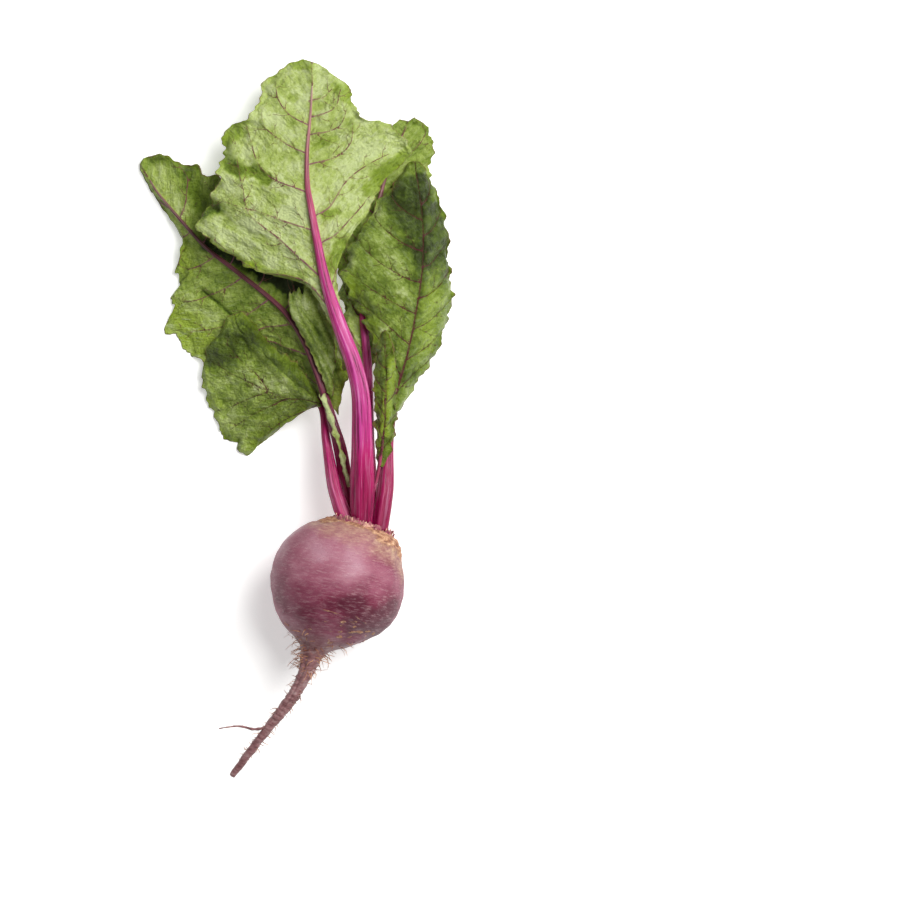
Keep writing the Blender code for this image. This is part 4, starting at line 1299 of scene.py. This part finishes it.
def stroke_amount(points, stroke):
    """How much of a stroke lies on each point, from 0 to 1, with a ragged border."""
    start, end = np.array(stroke[:2], float), np.array(stroke[2:4], float)
    run = end - start
    away = points[..., :2] - start
    share = np.clip((away @ run) / max(run @ run, 1e-6), 0.0, 1.0)
    distance = np.linalg.norm(away - share[..., None] * run, axis=-1)
    ragged = stroke[4] * (1 + 0.22 * ripple(points, 4.0, 51) + 0.12 * ripple(points, 1.6, 53))
    return smooth_step(1.35 - distance / ragged)


def tones_of(name, points, edge):
    """How light and how yellow the leaf is at each point, painted shade and light included, and how far its
    strokes stand out.
    """
    light, yellow = (np.full(edge.shape, value) for value in LEAF_TONES[name])
    raised = np.zeros(edge.shape)
    for stroke in TONE_AND_SHADE_STROKES[name]:
        amount = stroke_amount(points, stroke)
        light = light + stroke[5] * amount
        yellow = yellow + stroke[6] * amount
        raised = raised + stroke[7] * amount
    light = light + 0.05 * ripple(points, 6.0, 52) - 0.07 * smooth_step(1 - edge / 3.0)
    yellow = yellow + 0.18 * smooth_step(1 - edge / 4.0)
    return light, np.clip(yellow, 0.0, 1.0), raised


# %% Build the blades
BLADE_GRIDS = {"front": (250, 190), "long": (230, 160), "low": (170, 140), "right": (170, 120),
               "back": (130, 90), "inner": (140, 60)}
WALL = 0.45  # mm
# How far the tissue swells between the main veins of each leaf, in millimetres.
SWELLING = {"front": 0.9, "long": 0.7, "low": 0.45, "right": 1.0, "back": 0.8, "inner": 0.6}
SWELLING_WIDTH = 3.2
RIDGE = 0.45


def crinkled(points, flow, share):
    """The crinkles of the tissue: soft puckers, and creases that run between the side veins."""
    pucker = 0.28 * ripple(points, 4.2, 62) + 0.16 * ripple(points, 2.0, 63) + 0.5 * ripple(points, 9.0, 64)
    where = smooth_step(0.5 + 0.6 * ripple(points, 11.0, 68))
    crease = 0.30 * where * ripple(flow * (1.0, 0.14, 1.0), 2.3, 69)
    return (pucker + crease + 0.09 * ripple(points, 1.1, 70)) * smooth_step(share * 8.0)


def build_sheet(name, points, values, faces, *nodes):
    """A leaf sheet from its points by row and column, with the values that its finish reads."""
    rows, columns = points.shape[:2]
    piece, column, row = grid_sheet(name, columns - 1, rows - 1)
    place_points(piece, points[row, column])
    for key, value in values.items():
        keep_values(piece, key, value[row, column])
    give_wall(piece, WALL)
    finished(piece, faces, "leaf_green", *nodes)


def build_blade(name):
    rows, columns = BLADE_GRIDS[name]
    leaf = BLADES[name]
    draw = np.random.default_rng(61)
    points, edge, share, flow = blade_sheet(name, rows + 1, columns + 1)
    mains, height = main_veins(name, points)
    branches = branches_of(mains, height, BRANCH_GAP, 13.0, draw)
    twigs = branches_of(branches, height, TWIG_GAP, 6.5, draw)
    midrib = on_sheet(points, np.linspace(0.0, 1.0, 240), np.zeros(240))
    large = [(route, 0.40, 0.17, 1.0, 0.5) for route in mains]
    if name != "low":  # its midrib lies hidden below, and the veins spread from the stem
        large.append((midrib, 0.80, 0.35, 1.0, 0.6))
    fine = [(route, 0.20, 0.14, 0.62, 0.3) for route in branches]
    fine += [(route, 0.16, 0.12, 0.45, 0.2) for route in twigs]
    normals = normals_of(points)
    beside, straight, wide, strength = nearest_vein(points, normals, *vein_tree(large + fine))
    _, to_large, large_wide, _ = nearest_vein(points, normals, *vein_tree(large))
    _, to_branch, _, _ = nearest_vein(points, normals, *vein_tree(large + fine[:len(branches)]))
    light, yellow, raised = tones_of(name, points, edge)
    # The tissue swells towards the upper side, and a vein stands out on the underside.
    calm = smooth_step(edge / 3.0)
    swelling = 1 - np.exp(-((to_large / SWELLING_WIDTH) ** 2))
    swelling += 0.45 * (1 - np.exp(-((to_branch / 1.6) ** 2)))
    ridge = RIDGE * np.exp(-((to_large / (large_wide * 1.3)) ** 2))
    towards_upper = (swelling * SWELLING[name] - ridge) * calm + crinkled(points, flow, share)
    # The margin is finely waved, and it curls down. It moves up and down alone, so that the outline stays.
    wave = smooth_step(1 - edge / 7.0) * (0.9 * ripple(points, 3.6, 65) + 0.7 * ripple(points, 7.5, 66))
    curl = -1.5 * smooth_step(1 - edge / 5.5) ** 2 * (1 + ripple(points, 12.0, 67))
    facing = -1.0 if leaf["rib_on_top"] else 1.0
    flat = smooth_step(1 - edge / 6.0)[..., None]
    lifted = unit(normals * (1 - flat) + flat * (0.0, 0.0, 1.0) * np.sign(normals[..., 2:] + 1e-9))
    points = points + lifted * (towards_upper * facing)[..., None]
    outward = unit(np.gradient(points, axis=1)) * np.sign(np.arange(columns + 1) - columns / 2)[:, None]
    ragged = 0.45 * ripple(points, 2.6, 71) * smooth_step(1 - edge / 3.0)
    points[..., :2] += outward[..., :2] * ragged[..., None]
    points[..., 2] += curl + wave + raised
    points[..., 2] = np.maximum(points[..., 2], WALL / 2 + 0.1)
    light = light + 0.06 * (swelling - 0.8)
    width = np.maximum(wide, 0.1)
    values = {
        "vein": np.stack([beside / width, straight / width, strength], axis=-1).clip(-4, 4),
        "tone": np.stack([light, yellow, edge], axis=-1),
        "flow": flow,
    }
    faces_up = (underside, upper_side) if leaf["rib_on_top"] else (upper_side, underside)
    build_sheet(f"{name}_blade", points, values, faces_up, f"{name}_leaf")
    print(name, len(mains), "main veins,", len(branches), "branches,", len(twigs), "twigs")


for leaf_name in BLADES:
    build_blade(leaf_name)

# %% [markdown]
# ## Folded lobe and wing of the long leaf
# At its foot the long leaf's right half doubles up into a grey-green lobe with a ragged top, and a
# narrow pale wing of tissue runs on down its stem. Each is a sheet between two margins, pleated along
# its length.

# %% Lobe and wing
# Each loose sheet: its two margins from the bottom up, rows and columns, its height in the middle, pleats
# across it, how light and how yellow it is, and its side that faces up.
LOOSE_SHEETS = {
    "long_lobe": {
        "left": [(25.6, 12, 28.6), (22.6, 21, 28.4), (17.8, 31, 28), (12.6, 41.5, 27.6), (7.4, 52, 27.6),
                 (7.6, 61.5, 28)],
        "right": [(28, 10, 29.4), (29.6, 24, 31.4), (29.2, 36, 32.2), (28.2, 47, 32.4), (24.4, 56, 31.6),
                  (17, 62.5, 30.4)],
        "grid": (120, 56),
        "arch": 1.2,
        "pleats": 0.5,
        "tone": (0.74, 0.05),
        "faces": (upper_side, underside),
    },
    "long_wing": {
        "left": [(35.8, -34, 30.4), (32.3, -20.9, 31), (29.4, -9.7, 31), (25.2, 2.3, 30.6), (22, 11, 29.6)],
        "right": [(36.6, -34, 30.2), (34.2, -21, 30.6), (31.4, -9.6, 31), (27.6, 2.4, 30.4),
                  (24.4, 12, 29.6)],
        "grid": (150, 16),
        "arch": 0.7,
        "pleats": 0.35,
        "tone": (1.0, 0.0),
        "faces": (underside, upper_side),
    },
}


def build_loose_sheet(name):
    sheet = LOOSE_SHEETS[name]
    rows, columns = sheet["grid"]
    left, length = smooth_route(sheet["left"], rows + 1)
    right, _ = smooth_route(sheet["right"], rows + 1)
    share = np.linspace(0.0, 1.0, columns + 1)[None]
    along = np.linspace(0.0, 1.0, rows + 1)[:, None]
    points = left[:, None] * (1 - share[..., None]) + right[:, None] * share[..., None]
    width = np.linalg.norm(right - left, axis=1)[:, None]
    flow = np.stack([share * width, along * length + 0 * share, 0 * share * width], axis=-1)
    across = np.minimum(share, 1 - share) * width
    edge = np.minimum(across, (1 - along) * length)
    pleat = ripple(flow * (1.0, 0.10, 1.0), 1.5, 81)
    torn = ripple(flow * (1.0, 0.0, 0.0), 1.0, 82)
    points[..., 2] += sheet["arch"] * np.sin(math.pi * share) + sheet["pleats"] * pleat
    points[..., 2] += 0.35 * ripple(points, 3.0, 83) + 0.15 * ripple(points, 1.3, 84)
    points[..., 1] += 1.3 * torn * along**6
    points[..., 0] += 0.45 * ripple(points, 1.8, 85) * (1 - smooth_step(across / 1.5))
    light, yellow = (np.full(edge.shape, value) for value in sheet["tone"])
    values = {
        # Pleat crests are painted lighter and the folds darker: painted light and shade.
        "tone": np.stack([light + 0.14 * pleat, yellow, edge], axis=-1),
        "vein": np.stack([4 + 0 * edge, 4 + 0 * edge, 0 * edge], axis=-1),  # far from any vein
        "flow": flow,
    }
    build_sheet(name, points, values, sheet["faces"])


for sheet_name in LOOSE_SHEETS:
    build_loose_sheet(sheet_name)
